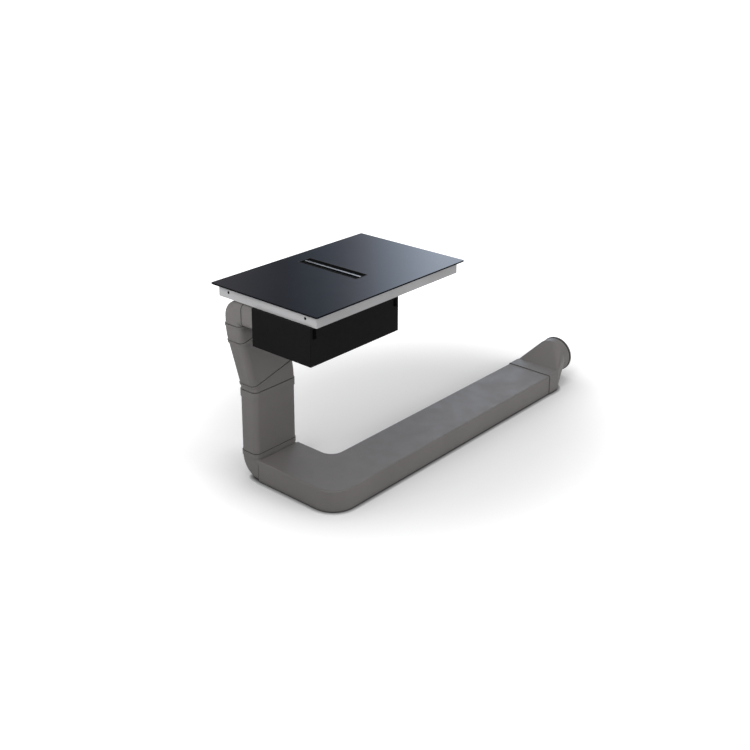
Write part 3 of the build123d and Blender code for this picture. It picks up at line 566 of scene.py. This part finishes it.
def rounded_outline(low, high, corner, inset):
    """The points of a rounded rectangle in its own plane, drawn in by an inset."""
    radius = max(corner - inset, SMALLEST_CORNER)
    corners = ((high[0], high[1]), (low[0], high[1]), (low[0], low[1]), (high[0], low[1]))
    points = []
    for quarter, (x, y) in enumerate(corners):
        side_x = -1 if x == high[0] else 1
        side_y = -1 if y == high[1] else 1
        centre_x = x + side_x * (inset + radius)
        centre_y = y + side_y * (inset + radius)
        for step in range(CORNER_STEPS + 1):
            angle = pi / 2 * (quarter + step / CORNER_STEPS)
            points.append((centre_x + radius * cos(angle), centre_y + radius * sin(angle)))
    return points


def stacked_outlines(low, high, corner, z, profile):
    """A level ring for each stop of a profile: its inset and its rise above z, in millimetres."""
    return [[(x, y, z + rise * MM) for x, y in rounded_outline(low, high, corner, inset * MM)]
            for inset, rise in profile]


print("outlines have", 4 * (CORNER_STEPS + 1), "points")

# %% [markdown]
# ## Turned shapes
# Screws, nuts and rivets are turned parts, some of them with six sides or a six-sided socket. A Screw
# modifier also turns an outline, but it can't change from round to six-sided on the way, as the head of
# a socket screw does. So this builder sets each ring itself, round or six-sided.

# %% Turned shapes
ROUND_STEPS = 24


def turned(shape, place, axis, profile, closed_end=True):
    """A turned piece. Each stop has a radius and a height in millimetres, and whether it is six-sided."""
    axis = Vector(axis).normalized()
    across = axis.orthogonal().normalized()
    other = axis.cross(across)
    rings = []
    for radius, height, six_sided in profile:
        ring = []
        for step in range(ROUND_STEPS):
            angle = 2 * pi * step / ROUND_STEPS
            reach = radius * MM
            if six_sided:
                reach *= cos(pi / 6) / cos((angle + pi / 6) % (pi / 3) - pi / 6)
            direction = across * cos(angle) + other * sin(angle)
            ring.append(Vector(place) + axis * height * MM + direction * reach)
        rings.append(ring)
    made = skin(shape, rings)
    if closed_end:
        shape.faces.new(made[-1])
    return made


print("turned rings have", ROUND_STEPS, "points")

# %% [markdown]
# ## The trim round the inlet
# The inlet's frame ends in a slim raised bead that hides the cut edge of the glass. It is polished, so
# it draws a thin bright line at the corners. A curve with a bevel could make it, but carrying a short
# profile round the frame's own outline gives exact control of its width.

# %% Inlet trim
TRIM_CORNER = 5.0 * MM
TRIM_PROFILE = ((0.1, 0.05), (0.3, 0.5), (0.9, 0.8), (1.7, 0.8), (2.3, 0.5), (2.7, -0.4), (0.4, -0.2))
frame_low, frame_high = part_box("inlet_frame")
trim = bmesh.new()
skin(trim, stacked_outlines(frame_low, frame_high, TRIM_CORNER, frame_high.z, TRIM_PROFILE), closed=True)
add_piece("inlet_trim", trim, "black_plastic", "vent_frame", sharp=60, paint=trim_black)

# %% [markdown]
# ## The ribs of the grille
# The moulded grille carries short cross ribs in its left half and a second thin slat in its right
# half. They are thin blades with soft edges. An Array modifier would repeat one rib, but a loop gives
# every rib its own place between the slats, and keeps the piece one plain mesh.

# %% Grille ribs
RIB_COUNT = 11
RIB_WIDTH = 1.4 * MM
RIB_HEIGHT = 5.0 * MM
RIB_DROP = 2.2 * MM
GRILLE_SIDE = 3.4 * MM
GRILLE_END = 4.0 * MM
SLAT_SHARE = 0.75
grille_low, grille_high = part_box("inlet_grille")
bar_low, bar_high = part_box("grille_bar")
inner_left = grille_low.x + GRILLE_SIDE
inner_right = grille_high.x - GRILLE_SIDE
first_y = grille_low.y + GRILLE_END
last_y = grille_high.y - GRILLE_END
rib_top = grille_high.z - RIB_DROP
rib_foot = rib_top - RIB_HEIGHT
ribs = bmesh.new()
for number in range(RIB_COUNT):
    rib_y = first_y + (last_y - first_y) * (number + 0.5) / RIB_COUNT
    add_block(ribs, (inner_left, rib_y - RIB_WIDTH / 2, rib_foot),
              (bar_low.x, rib_y + RIB_WIDTH / 2, rib_top))
slat_x = bar_high.x + (inner_right - bar_high.x) * SLAT_SHARE
add_block(ribs, (slat_x - RIB_WIDTH / 2, first_y, rib_foot), (slat_x + RIB_WIDTH / 2, last_y, rib_top))
add_piece("grille_ribs", ribs, "black_plastic", "filter_unit")

# %% [markdown]
# ## The grease mesh
# The filter's windows hold expanded metal: a sheet that is slit and pulled into diamonds, which makes
# the vapour turn and drop its grease. A grid of diamonds with a Wireframe modifier gives each strand a
# real thickness, which an image of a mesh laid on a plate could not.

# %% Grease mesh
DIAMOND_LONG = 8.0 * MM
DIAMOND_SHORT = 4.0 * MM
DIAMOND_WAVE = 0.5 * MM
STRAND = 0.9 * MM


def diamond_sheet(name, node_name):
    """A sheet of expanded metal that fills a window of the filter."""
    low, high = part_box(node_name)
    middle_x = (low.x + high.x) / 2
    columns = int((high.y - low.y) / (DIAMOND_LONG / 2))
    rows = int((high.z - low.z) / (DIAMOND_SHORT / 2))
    step_y = (high.y - low.y) / columns
    step_z = (high.z - low.z) / rows
    shape = bmesh.new()
    grid = {}
    for i in range(columns + 1):
        for j in range(rows + 1):
            if (i + j) % 2 == 0:
                wave = DIAMOND_WAVE * (-1) ** (i // 2)
                grid[i, j] = shape.verts.new((middle_x + wave, low.y + i * step_y, low.z + j * step_z))
    for i in range(1, columns):
        for j in range(1, rows):
            if (i + j) % 2:
                shape.faces.new((grid[i - 1, j], grid[i, j - 1], grid[i + 1, j], grid[i, j + 1]))
    for vert in [vert for vert in shape.verts if not vert.link_faces]:
        shape.verts.remove(vert)
    mesh_sheet = add_piece(name, shape, "filter_steel", "filter_unit")
    strands = mesh_sheet.modifiers.new("strands", "WIREFRAME")
    strands.thickness = STRAND
    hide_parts(node_name)


diamond_sheet("expanded_mesh_left", "filter_mesh_left")
diamond_sheet("expanded_mesh_right", "filter_mesh_right")

# %% [markdown]
# ## The service cover
# From a low angle the casing's underside shows. A pressed cover closes the service opening below the
# fan. It could be cut from a plate with booleans and bevels, but a short stack of rounded outlines
# gives the pressed edge in one go, without any boolean work.

# %% Service cover
COVER_HALF = Vector((70.0, 50.0)) * MM
COVER_CORNER = 14.0 * MM
COVER_PROFILE = ((0.0, 0.0), (0.0, -0.9), (0.6, -1.4), (8.0, -1.4), (11.0, -3.6), (12.5, -3.9))
casing_low, casing_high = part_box("fan_casing")
cover_centre = centre_of("fan_wheel").xy
cover = bmesh.new()
cover_outlines = stacked_outlines(cover_centre - COVER_HALF, cover_centre + COVER_HALF, COVER_CORNER,
                                  casing_low.z, COVER_PROFILE)
cover_rings = skin(cover, cover_outlines)
cover.faces.new(cover_rings[-1])
add_piece("service_cover", cover, "black_steel", "vent_frame", sharp=50)

# %% [markdown]
# ## The screws of the cover
# Four bright socket screws hold the cover, one at each corner. They could be four copies of one object,
# but four heads in one mesh are one piece, with one name and one body to ride on.

# %% Screws of the cover
SCREW_INSET = 5.5 * MM
SCREW_SEAT = 1.4 * MM
SCREW_PROFILE = ((3.2, 0.0, False), (3.2, 1.1, False), (2.624, 2.0, False), (1.76, 2.0, True),
                 (1.6, 0.8, True))
cover_screws = bmesh.new()
for side_x in (-1, 1):
    for side_y in (-1, 1):
        screw_x = cover_centre.x + side_x * (COVER_HALF.x - SCREW_INSET)
        screw_y = cover_centre.y + side_y * (COVER_HALF.y - SCREW_INSET)
        turned(cover_screws, (screw_x, screw_y, casing_low.z - SCREW_SEAT), (0, 0, -1), SCREW_PROFILE)
add_piece("service_cover_screws", cover_screws, "bare_steel", "vent_frame")

# %% [markdown]
# ## The catches of the drip tray
# The drip tray below the filter is held by two slide catches, one at each end, with ribs that give the
# fingers a grip. One block cut by grooves would need booleans, so each catch is a flat block with five
# narrow ones on it, all with broken edges.

# %% Catches
CATCH_FROM_END = 20.0 * MM
CATCH_HALF_X = 12.0 * MM
CATCH_HALF_Y = 8.0 * MM
CATCH_THICKNESS = 1.6 * MM
CATCH_EDGE = 0.5 * MM
GRIP_COUNT = 5
GRIP_PITCH = 3.6 * MM
GRIP_HALF_X = 0.7 * MM
GRIP_HALF_Y = 6.0 * MM
GRIP_HEIGHT = 1.0 * MM
drip_low, drip_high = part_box("drip_tray")
drip_x = (drip_low.x + drip_high.x) / 2
catch_z = drip_low.z - CATCH_THICKNESS
catches = bmesh.new()
for end_y in (drip_low.y + CATCH_FROM_END, drip_high.y - CATCH_FROM_END):
    add_block(catches, (drip_x - CATCH_HALF_X, end_y - CATCH_HALF_Y, catch_z),
              (drip_x + CATCH_HALF_X, end_y + CATCH_HALF_Y, drip_low.z), CATCH_EDGE)
    for number in range(GRIP_COUNT):
        grip_x = drip_x + (number - (GRIP_COUNT - 1) / 2) * GRIP_PITCH
        add_block(catches, (grip_x - GRIP_HALF_X, end_y - GRIP_HALF_Y, catch_z - GRIP_HEIGHT),
                  (grip_x + GRIP_HALF_X, end_y + GRIP_HALF_Y, catch_z))
add_piece("catch_tray_catches", catches, "black_plastic", "drip_drawer")

# %% [markdown]
# ## Rivet nuts in the tray's sides
# The hob is held by screws in the tray's sides. Thin sheet holds no thread, so each of these holes gets
# a blind rivet nut: a flat collar outside and a threaded tube inside, black from its zinc coat. Its dull
# near-black paint and closed end are also painted shade deep in the holes. A cylinder with a boolean
# bore would do, but a turned outline draws collar, bore and closed end in one go.

# %% Rivet nuts
SIDE_HOLE_SPACING = 392.0 * MM
SIDE_HOLE_DROP = 22.5 * MM
RIVET_PROFILE = ((3.9, -9.0, False), (3.9, -0.1, False), (5.3, 0.05, False), (5.3, 0.45, False),
                 (5.0, 0.6, False), (2.7, 0.6, False), (2.5, 0.3, False), (2.5, -8.0, False))
tray_low, tray_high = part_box("hob_tray")
tray_y = (tray_low.y + tray_high.y) / 2
rivets = bmesh.new()
for side_x, outward in ((tray_low.x, -1), (tray_high.x, 1)):
    for hole_y in (tray_y - SIDE_HOLE_SPACING / 2, tray_y + SIDE_HOLE_SPACING / 2):
        hole = (side_x, hole_y, tray_high.z - SIDE_HOLE_DROP)
        rivet_rings = turned(rivets, hole, (outward, 0, 0), RIVET_PROFILE)
        rivets.faces.new(rivet_rings[0])
# The nuts' near-black is their own dull black and painted shade inside the holes.
add_piece("side_rivet_nuts", rivets, "black_plastic", "vent_frame", paint=dull_black_and_painted_shade)

# %% [markdown]
# ## Air louvres
# The electronics breathe through louvres pressed into the tray's floor, right of the casing. Each is a
# small hood, closed at its ends and open along one side. A solid hood would have to be hollowed out, so
# it is drawn as a curved sheet instead, and a Solidify modifier gives it the thickness of real sheet.

# %% Tray louvres
LOUVRE_COUNT = 9
LOUVRE_PITCH = 10.0 * MM
LOUVRE_BANK_Y = 60.0 * MM
LOUVRE_HALF = 34.0 * MM
LOUVRE_REACH = 8.0 * MM
LOUVRE_HEIGHT = 3.4 * MM
LOUVRE_GAP = 0.1 * MM
LOUVRE_SHEET = 0.8 * MM
LOUVRE_FULLNESS = 0.35
LOUVRE_ACROSS = 6
LOUVRE_ALONG = 16


def add_louvre(shape, middle_x, foot_y, top_z):
    """One hood under the tray's floor, open along the side away from its foot."""
    rows = []
    for along in range(LOUVRE_ALONG + 1):
        share = along / LOUVRE_ALONG
        swell = sin(pi * share) ** LOUVRE_FULLNESS if 0 < along < LOUVRE_ALONG else 0.0
        x = middle_x + (2 * share - 1) * LOUVRE_HALF
        row = []
        for across in range(LOUVRE_ACROSS + 1):
            reach = across / LOUVRE_ACROSS
            drop = LOUVRE_HEIGHT * swell * sin(pi / 2 * reach)
            row.append(shape.verts.new((x, foot_y + reach * LOUVRE_REACH, top_z - drop)))
        rows.append(row)
    for first, second in zip(rows, rows[1:]):
        for i in range(LOUVRE_ACROSS):
            shape.faces.new((first[i], first[i + 1], second[i + 1], second[i]))


louvre_x = (casing_high.x + tray_high.x) / 2
louvres = bmesh.new()
for bank_y in (-LOUVRE_BANK_Y, LOUVRE_BANK_Y):
    for number in range(LOUVRE_COUNT):
        louvre_y = bank_y + (number - (LOUVRE_COUNT - 1) / 2) * LOUVRE_PITCH
        add_louvre(louvres, louvre_x, louvre_y, tray_low.z - LOUVRE_GAP)
louvre_piece = add_piece("tray_louvres", louvres, "tray_grey", "vent_frame", sharp=50)
louvre_piece.modifiers.new("sheet", "SOLIDIFY").thickness = LOUVRE_SHEET

# %% [markdown]
# ## The nut of the cable gland
# At the back, a six-sided dome nut tightens the cable gland. A cylinder with six sides would give the
# spanner faces but not the round dome, so the turned outline changes from six-sided to round on its
# way. Its end stays open, as the gland's bore is.

# %% Gland nut
NUT_PROFILE = ((11.4, 0.0, True), (11.4, 7.0, True), (10.2, 8.6, False), (9.8, 10.5, False),
               (9.2, 11.6, False), (9.05, 11.8, False))
NUT_DEPTH = 11.9 * MM
gland_centre = centre_of("cable_gland")
nut_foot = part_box("cable_gland")[1].y - NUT_DEPTH
nut = bmesh.new()
turned(nut, (gland_centre.x, nut_foot, gland_centre.z), (0, 1, 0), NUT_PROFILE, closed_end=False)
add_piece("gland_nut", nut, "black_plastic", "vent_frame", sharp=30)

# %% [markdown]
# ## The seal of the spigot
# Where the elbow meets the casing's spigot, the edge of the flat rubber seal stands out as a thin black
# line. A dark line in the paint would lie flat and give no shadow. A small closed profile, carried
# round the duct's rounded outline, stands out by half a millimetre, as the rubber does.

# %% Spigot seal
DUCT_DEPTH = 90.0 * MM
DUCT_CORNER = 22.0 * MM
LIP_PROFILE = ((-1.6, 0.4), (-1.3, -0.5), (1.3, -0.5), (1.6, 0.4))
elbow_low, elbow_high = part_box("upper_elbow")
spigot_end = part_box("outlet_spigot")[1].y
seam_y = (spigot_end + elbow_low.y) / 2
lip_low = (elbow_low.x, elbow_high.z - DUCT_DEPTH)
lip_high = (elbow_high.x, elbow_high.z)
lip_rings = []
for along, inset in LIP_PROFILE:
    outline = rounded_outline(lip_low, lip_high, DUCT_CORNER, inset * MM)
    lip_rings.append([(x, seam_y + along * MM, z) for x, z in outline])
spigot_lip = bmesh.new()
skin(spigot_lip, lip_rings, closed=True)
add_piece("spigot_seal", spigot_lip, "seal_rubber", "vent_frame")

# %% [markdown]
# ## The seal of the outlet
# Round pipe is pushed over the outlet and is kept tight by a rubber lip that lies behind the end bead.
# A torus is the ready-made ring, but its section is a circle. The lip's section is flat with sloping
# sides, so it is a profile again, carried round a circle. Ninety-six steps keep the large ring smooth.

# %% Outlet seal
OUTLET_RADIUS = 78.0 * MM
OUTLET_BEAD = 2.5 * MM
SEAL_STEPS = 96
SEAL_PROFILE = ((-10.2, -0.1), (-9.8, 1.3), (-8.6, 1.9), (-7.4, 1.9), (-6.2, 1.3), (-6.1, -0.1))
adapter_low, adapter_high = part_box("round_adapter")
outlet_y = (adapter_low.y + adapter_high.y) / 2
outlet_z = adapter_high.z - OUTLET_RADIUS - OUTLET_BEAD
turns = [2 * pi * step / SEAL_STEPS for step in range(SEAL_STEPS)]
seal_rings = []
for along, rise in SEAL_PROFILE:
    x = adapter_high.x + along * MM
    reach = OUTLET_RADIUS + rise * MM
    seal_rings.append([(x, outlet_y + reach * cos(angle), outlet_z + reach * sin(angle)) for angle in turns])
outlet_seal = bmesh.new()
skin(outlet_seal, seal_rings, closed=True)
add_piece("outlet_seal", outlet_seal, "seal_rubber", "vent_frame")

# %% [markdown]
# ## The studio floor
# The object stands on a pale floor that takes a soft shadow. A photo studio hangs a roll of paper that
# bends up behind the object. A level floor that is very large is simpler, and the object can be seen
# on it from every side.

# %% Floor
FLOOR_HALF = 60.0


def stage_sheet(name, corners):
    """A flat sheet of the studio, from its corners in order."""
    mesh = bpy.data.meshes.new(name)
    mesh.from_pydata(corners, [], [tuple(range(len(corners)))])
    sheet = place_object(name, mesh)
    return sheet


floor = stage_sheet("studio_floor", [(-FLOOR_HALF, -FLOOR_HALF, 0), (FLOOR_HALF, -FLOOR_HALF, 0),
                                     (FLOOR_HALF, FLOOR_HALF, 0), (-FLOOR_HALF, FLOOR_HALF, 0)])
print("floor", 2 * FLOOR_HALF, "m square")

# %% [markdown]
# ## The paint of the floor
# The last two centimetres under a resting object are dark, because no light gets in. Lamps this large
# would wash that line of contact out, so the paint itself darkens in the nooks, which an Ambient
# Occlusion node finds: its value falls where other surfaces are near.

# %% Floor paint
FLOOR_COLOR = screen(236, 236, 237)
LINE_REACH = 0.02
LINE_DEPTH = 3.0
NOOK_SAMPLES = 8


def openness(material, reach, depth):
    """1 on open floor, falling to 0 in the nooks within a reach. More depth makes the fall steeper."""
    nook = node(material, "ShaderNodeAmbientOcclusion", Distance=reach)
    nook.samples = NOOK_SAMPLES
    return worked_out(material, "POWER", nook.outputs["AO"], depth)


def empty_material(name):
    """A new material with no nodes yet."""
    material = bpy.data.materials.new(name)
    material.use_nodes = True
    material.node_tree.nodes.clear()
    return material


floor_paint = empty_material("pale_floor")
line_of_contact = openness(floor_paint, LINE_REACH, LINE_DEPTH)
floor_color = scaled_color(floor_paint, FLOOR_COLOR[:3], line_of_contact)
floor_diffuse = node(floor_paint, "ShaderNodeBsdfDiffuse", Color=floor_color)
print("contact line within", LINE_REACH, "m of the object")

# %% [markdown]
# ## The glow of the floor
# Away from the object the floor has to run out into plain white. A brighter lamp would do that, but it
# would also light the object. So the floor's paint has a glow of its own, which grows with the distance
# from the middle and falls away where the object stands. The glow lights nothing, because only looking
# rays see it.

# %% Floor glow
LIFT_NEAR = 0.16
LIFT_FAR = 0.85
LIFT_START = 0.5
LIFT_END = 1.5
CONTACT_REACH = 0.22
CONTACT_DEPTH = 2.0


def seen_by(owner, *kinds):
    """1 for the named kinds of ray, 0 for all others."""
    rays = node(owner, "ShaderNodeLightPath")
    seen = rays.outputs[kinds[0]]
    for kind in kinds[1:]:
        seen = worked_out(owner, "MAXIMUM", seen, rays.outputs[kind])
    return seen


floor_place = node(floor_paint, "ShaderNodeTexCoord")
floor_distance = node(floor_paint, "ShaderNodeVectorMath", Vector=floor_place.outputs["Object"])
floor_distance.operation = "LENGTH"
open_floor = openness(floor_paint, CONTACT_REACH, CONTACT_DEPTH)
lift = spread(floor_paint, floor_distance.outputs["Value"], LIFT_START, LIFT_END, LIFT_NEAR, LIFT_FAR,
              curve="SMOOTHSTEP")
lift_in_the_open = worked_out(floor_paint, "MULTIPLY", open_floor, lift)
looking = seen_by(floor_paint, "Is Camera Ray", "Is Transmission Ray")
seen_lift = worked_out(floor_paint, "MULTIPLY", looking, lift_in_the_open)
floor_glow = node(floor_paint, "ShaderNodeEmission", Color=(1, 1, 1, 1), Strength=seen_lift)
floor_sum = node(floor_paint, "ShaderNodeAddShader")
feed(floor_paint, floor_sum.inputs[0], floor_diffuse.outputs[0])
feed(floor_paint, floor_sum.inputs[1], floor_glow.outputs[0])
node(floor_paint, "ShaderNodeOutputMaterial", Surface=floor_sum.outputs[0])
floor.data.materials.append(floor_paint)
print("glow from", LIFT_NEAR, "near the object to", LIFT_FAR, "at", LIFT_END, "m")

# %% [markdown]
# ## The room
# Beyond the floor lies a pale room. It could be a large box of white walls, but the world's background
# does the same without any mesh. It is plain white where it is looked at or mirrored, and gives the
# object only half of that light, so that the lamps still shape it.

# %% Room
ROOM_SEEN = 1.0
ROOM_LIGHT = 0.50
room = bpy.data.worlds.new("pale_room")
bpy.context.scene.world = room
room.use_nodes = True
room.node_tree.nodes.clear()
room_seen = seen_by(room, "Is Camera Ray", "Is Glossy Ray", "Is Transmission Ray")
room_strength = spread(room, room_seen, 0.0, 1.0, ROOM_LIGHT, ROOM_SEEN)
room_glow = node(room, "ShaderNodeBackground", Color=(1, 1, 1, 1), Strength=room_strength)
node(room, "ShaderNodeOutputWorld", Surface=room_glow.outputs[0])
print("room light", ROOM_LIGHT)

# %% [markdown]
# ## The lamps
# One big soft lamp stands at the left and a weaker one in front: the left faces are the brightest, and
# the shadows have soft edges. Sun and point lamps draw harder shadows, while an area lamp is soft by
# its size. Both lamps are kept out of the reflections, or their square faces would lie in the glass.

# %% Lamps
KEY_PLACE = (-3.8, -0.2, 3.0)
KEY_SIZE = 2.4
KEY_POWER = 128
FILL_PLACE = (1.6, -4.4, 2.4)
FILL_AIM = (0.2, 0, 0.3)
FILL_SIZE = 2.6
FILL_POWER = 58
hob_centre = centre_of("glass_plate")


def soft_light(name, place, aim, size, power):
    """A large square lamp that looks at a point and is mirrored by nothing."""
    lamp = bpy.data.lights.new(name, "AREA")
    lamp.size = size
    lamp.energy = power
    holder = place_object(name, lamp)
    holder.location = place
    holder.rotation_mode = "QUATERNION"
    holder.rotation_quaternion = (Vector(aim) - Vector(place)).to_track_quat("-Z", "Y")
    holder.visible_glossy = False
    return holder


key = soft_light("key_left", KEY_PLACE, hob_centre, KEY_SIZE, KEY_POWER)
fill = soft_light("fill_front", FILL_PLACE, FILL_AIM, FILL_SIZE, FILL_POWER)
print("lamps", key.name, fill.name)

# %% [markdown]
# ## The flag
# In a photo studio, a black flag is a dark cloth on a stand that keeps light off a part of the object.
# Here one stands between the big lamp and the lower ducts, so that the light on the left faces fades
# towards the floor. Another place for the lamp would change the light on the whole object, while the
# flag dims only what lies behind it. It throws its shadow and is otherwise hidden.

# %% Flag
FLAG_X = -1.9
FLAG_HALF = 2.0
FLAG_FOOT = 0.4
FLAG_TOP = 1.3
flag = stage_sheet("black_flag", [(FLAG_X, -FLAG_HALF, FLAG_FOOT), (FLAG_X, FLAG_HALF, FLAG_FOOT),
                                  (FLAG_X, FLAG_HALF, FLAG_TOP), (FLAG_X, -FLAG_HALF, FLAG_TOP)])
flag.data.materials.append(finish("black_flag_cloth", screen(7, 7, 7), 0.80))
flag.visible_camera = False
flag.visible_diffuse = False
flag.visible_glossy = False
flag.visible_transmission = False
print("flag from", FLAG_FOOT, "to", FLAG_TOP, "m")

# %% [markdown]
# ## The cards that the glass mirrors
# Black glass shows only what it mirrors, so a photographer hangs a large curved card behind the object.
# It is dark over most of its width and brightens to the right, which draws the pale sheen at the right
# corner of the glass. A second, even card closes the circle, so that the glass is dark from every side.
# A picture of a room could be mirrored instead, but a card shows exactly the tones that it is given.
# The first cell draws a card, bent round the hob. Both cards are seen by reflections alone: they light
# nothing and throw no shadow.

# %% Card shapes
CARD_DISTANCE = 20.0
CARD_TOP = 13.0
CARD_STEP = 2


def card_sheet(name, first, last):
    """An upright card bent round the hob, from one angle in degrees to another."""
    shape = bmesh.new()
    rows = []
    for angle in range(first, last + 1, CARD_STEP):
        foot_x = hob_centre.x + CARD_DISTANCE * cos(radians(angle))
        foot_y = hob_centre.y + CARD_DISTANCE * sin(radians(angle))
        foot = shape.verts.new((foot_x, foot_y, 0))
        top = shape.verts.new((foot_x, foot_y, CARD_TOP))
        rows.append((foot, top, (angle - first) / (last - first)))
    across = shape.loops.layers.uv.new("across")
    for (foot_a, top_a, share_a), (foot_b, top_b, share_b) in zip(rows, rows[1:]):
        panel = shape.faces.new((foot_a, foot_b, top_b, top_a))
        for loop, share in zip(panel.loops, (share_a, share_b, share_b, share_a)):
            loop[across].uv = (share, 0)
    mesh = bpy.data.meshes.new(name)
    shape.to_mesh(mesh)
    shape.free()
    card = place_object(name, mesh)
    card.visible_camera = False
    card.visible_diffuse = False
    card.visible_shadow = False
    card.visible_transmission = False
    print(name, len(mesh.polygons), "panels")
    return card


print("cards", CARD_DISTANCE, "m from the hob")

# %% [markdown]
# ## The tones of the cards
# Each card glows in tones that follow its angle round the hob. They could be an image on the card, but
# a colour ramp along its width holds them as a short list. Some tones are brighter than 1, so all of
# them are divided by a peak value for the ramp, and the glow multiplies them by it again.

# %% Reflection cards
CARD_PEAK = 2.4
CARD_RIGHT = 14
CARD_LEFT = 80
DIM = (0.30, 0.30, 0.32)
CARD_TONES = (
    (80, DIM),
    (56, (0.26, 0.26, 0.28)),
    (50, (0.22, 0.22, 0.25)),
    (46.5, (0.12, 0.13, 0.16)),
    (44.2, (0.19, 0.23, 0.29)),
    (42.8, (0.29, 0.31, 0.38)),
    (41.4, (0.47, 0.50, 0.60)),
    (39.4, (0.84, 0.98, 1.19)),
    (38.3, (1.13, 1.27, 1.55)),
    (37.4, (1.35, 1.53, 1.87)),
    (36.4, (1.58, 1.78, 2.14)),
    (32.5, (1.60, 1.78, 2.10)),
    (25, (0.50, 0.54, 0.62)),
    (18, DIM),
    (14, DIM),
)
SURROUND_TONES = ((80, DIM), (227, (0.22, 0.22, 0.24)), (374, DIM))


def glowing_card(name, first, last, tones):
    """A card that glows in tones given by their angle in degrees."""
    cloth = empty_material(name + "_cloth")
    place = node(cloth, "ShaderNodeUVMap")
    share = node(cloth, "ShaderNodeSeparateXYZ", Vector=place.outputs["UV"])
    ramp = node(cloth, "ShaderNodeValToRGB", Fac=share.outputs["X"])
    stops = ramp.color_ramp.elements
    while len(stops) < len(tones):
        stops.new(0.5)
    for stop, (angle, tone) in zip(stops, sorted(tones)):
        stop.position = (angle - first) / (last - first)
        stop.color = shade(tone, 1 / CARD_PEAK)
    glow = node(cloth, "ShaderNodeEmission", Color=ramp.outputs["Color"], Strength=CARD_PEAK)
    node(cloth, "ShaderNodeOutputMaterial", Surface=glow.outputs[0])
    card_sheet(name, first, last).data.materials.append(cloth)


glowing_card("reflection_card", CARD_RIGHT, CARD_LEFT, CARD_TONES)
glowing_card("surround_card", CARD_LEFT, CARD_RIGHT + 360, SURROUND_TONES)

# %% [markdown]
# ## The picture's colours
# The picture is kept in plain screen colours.

# %% Finish
bpy.context.scene.view_settings.view_transform = "Standard"
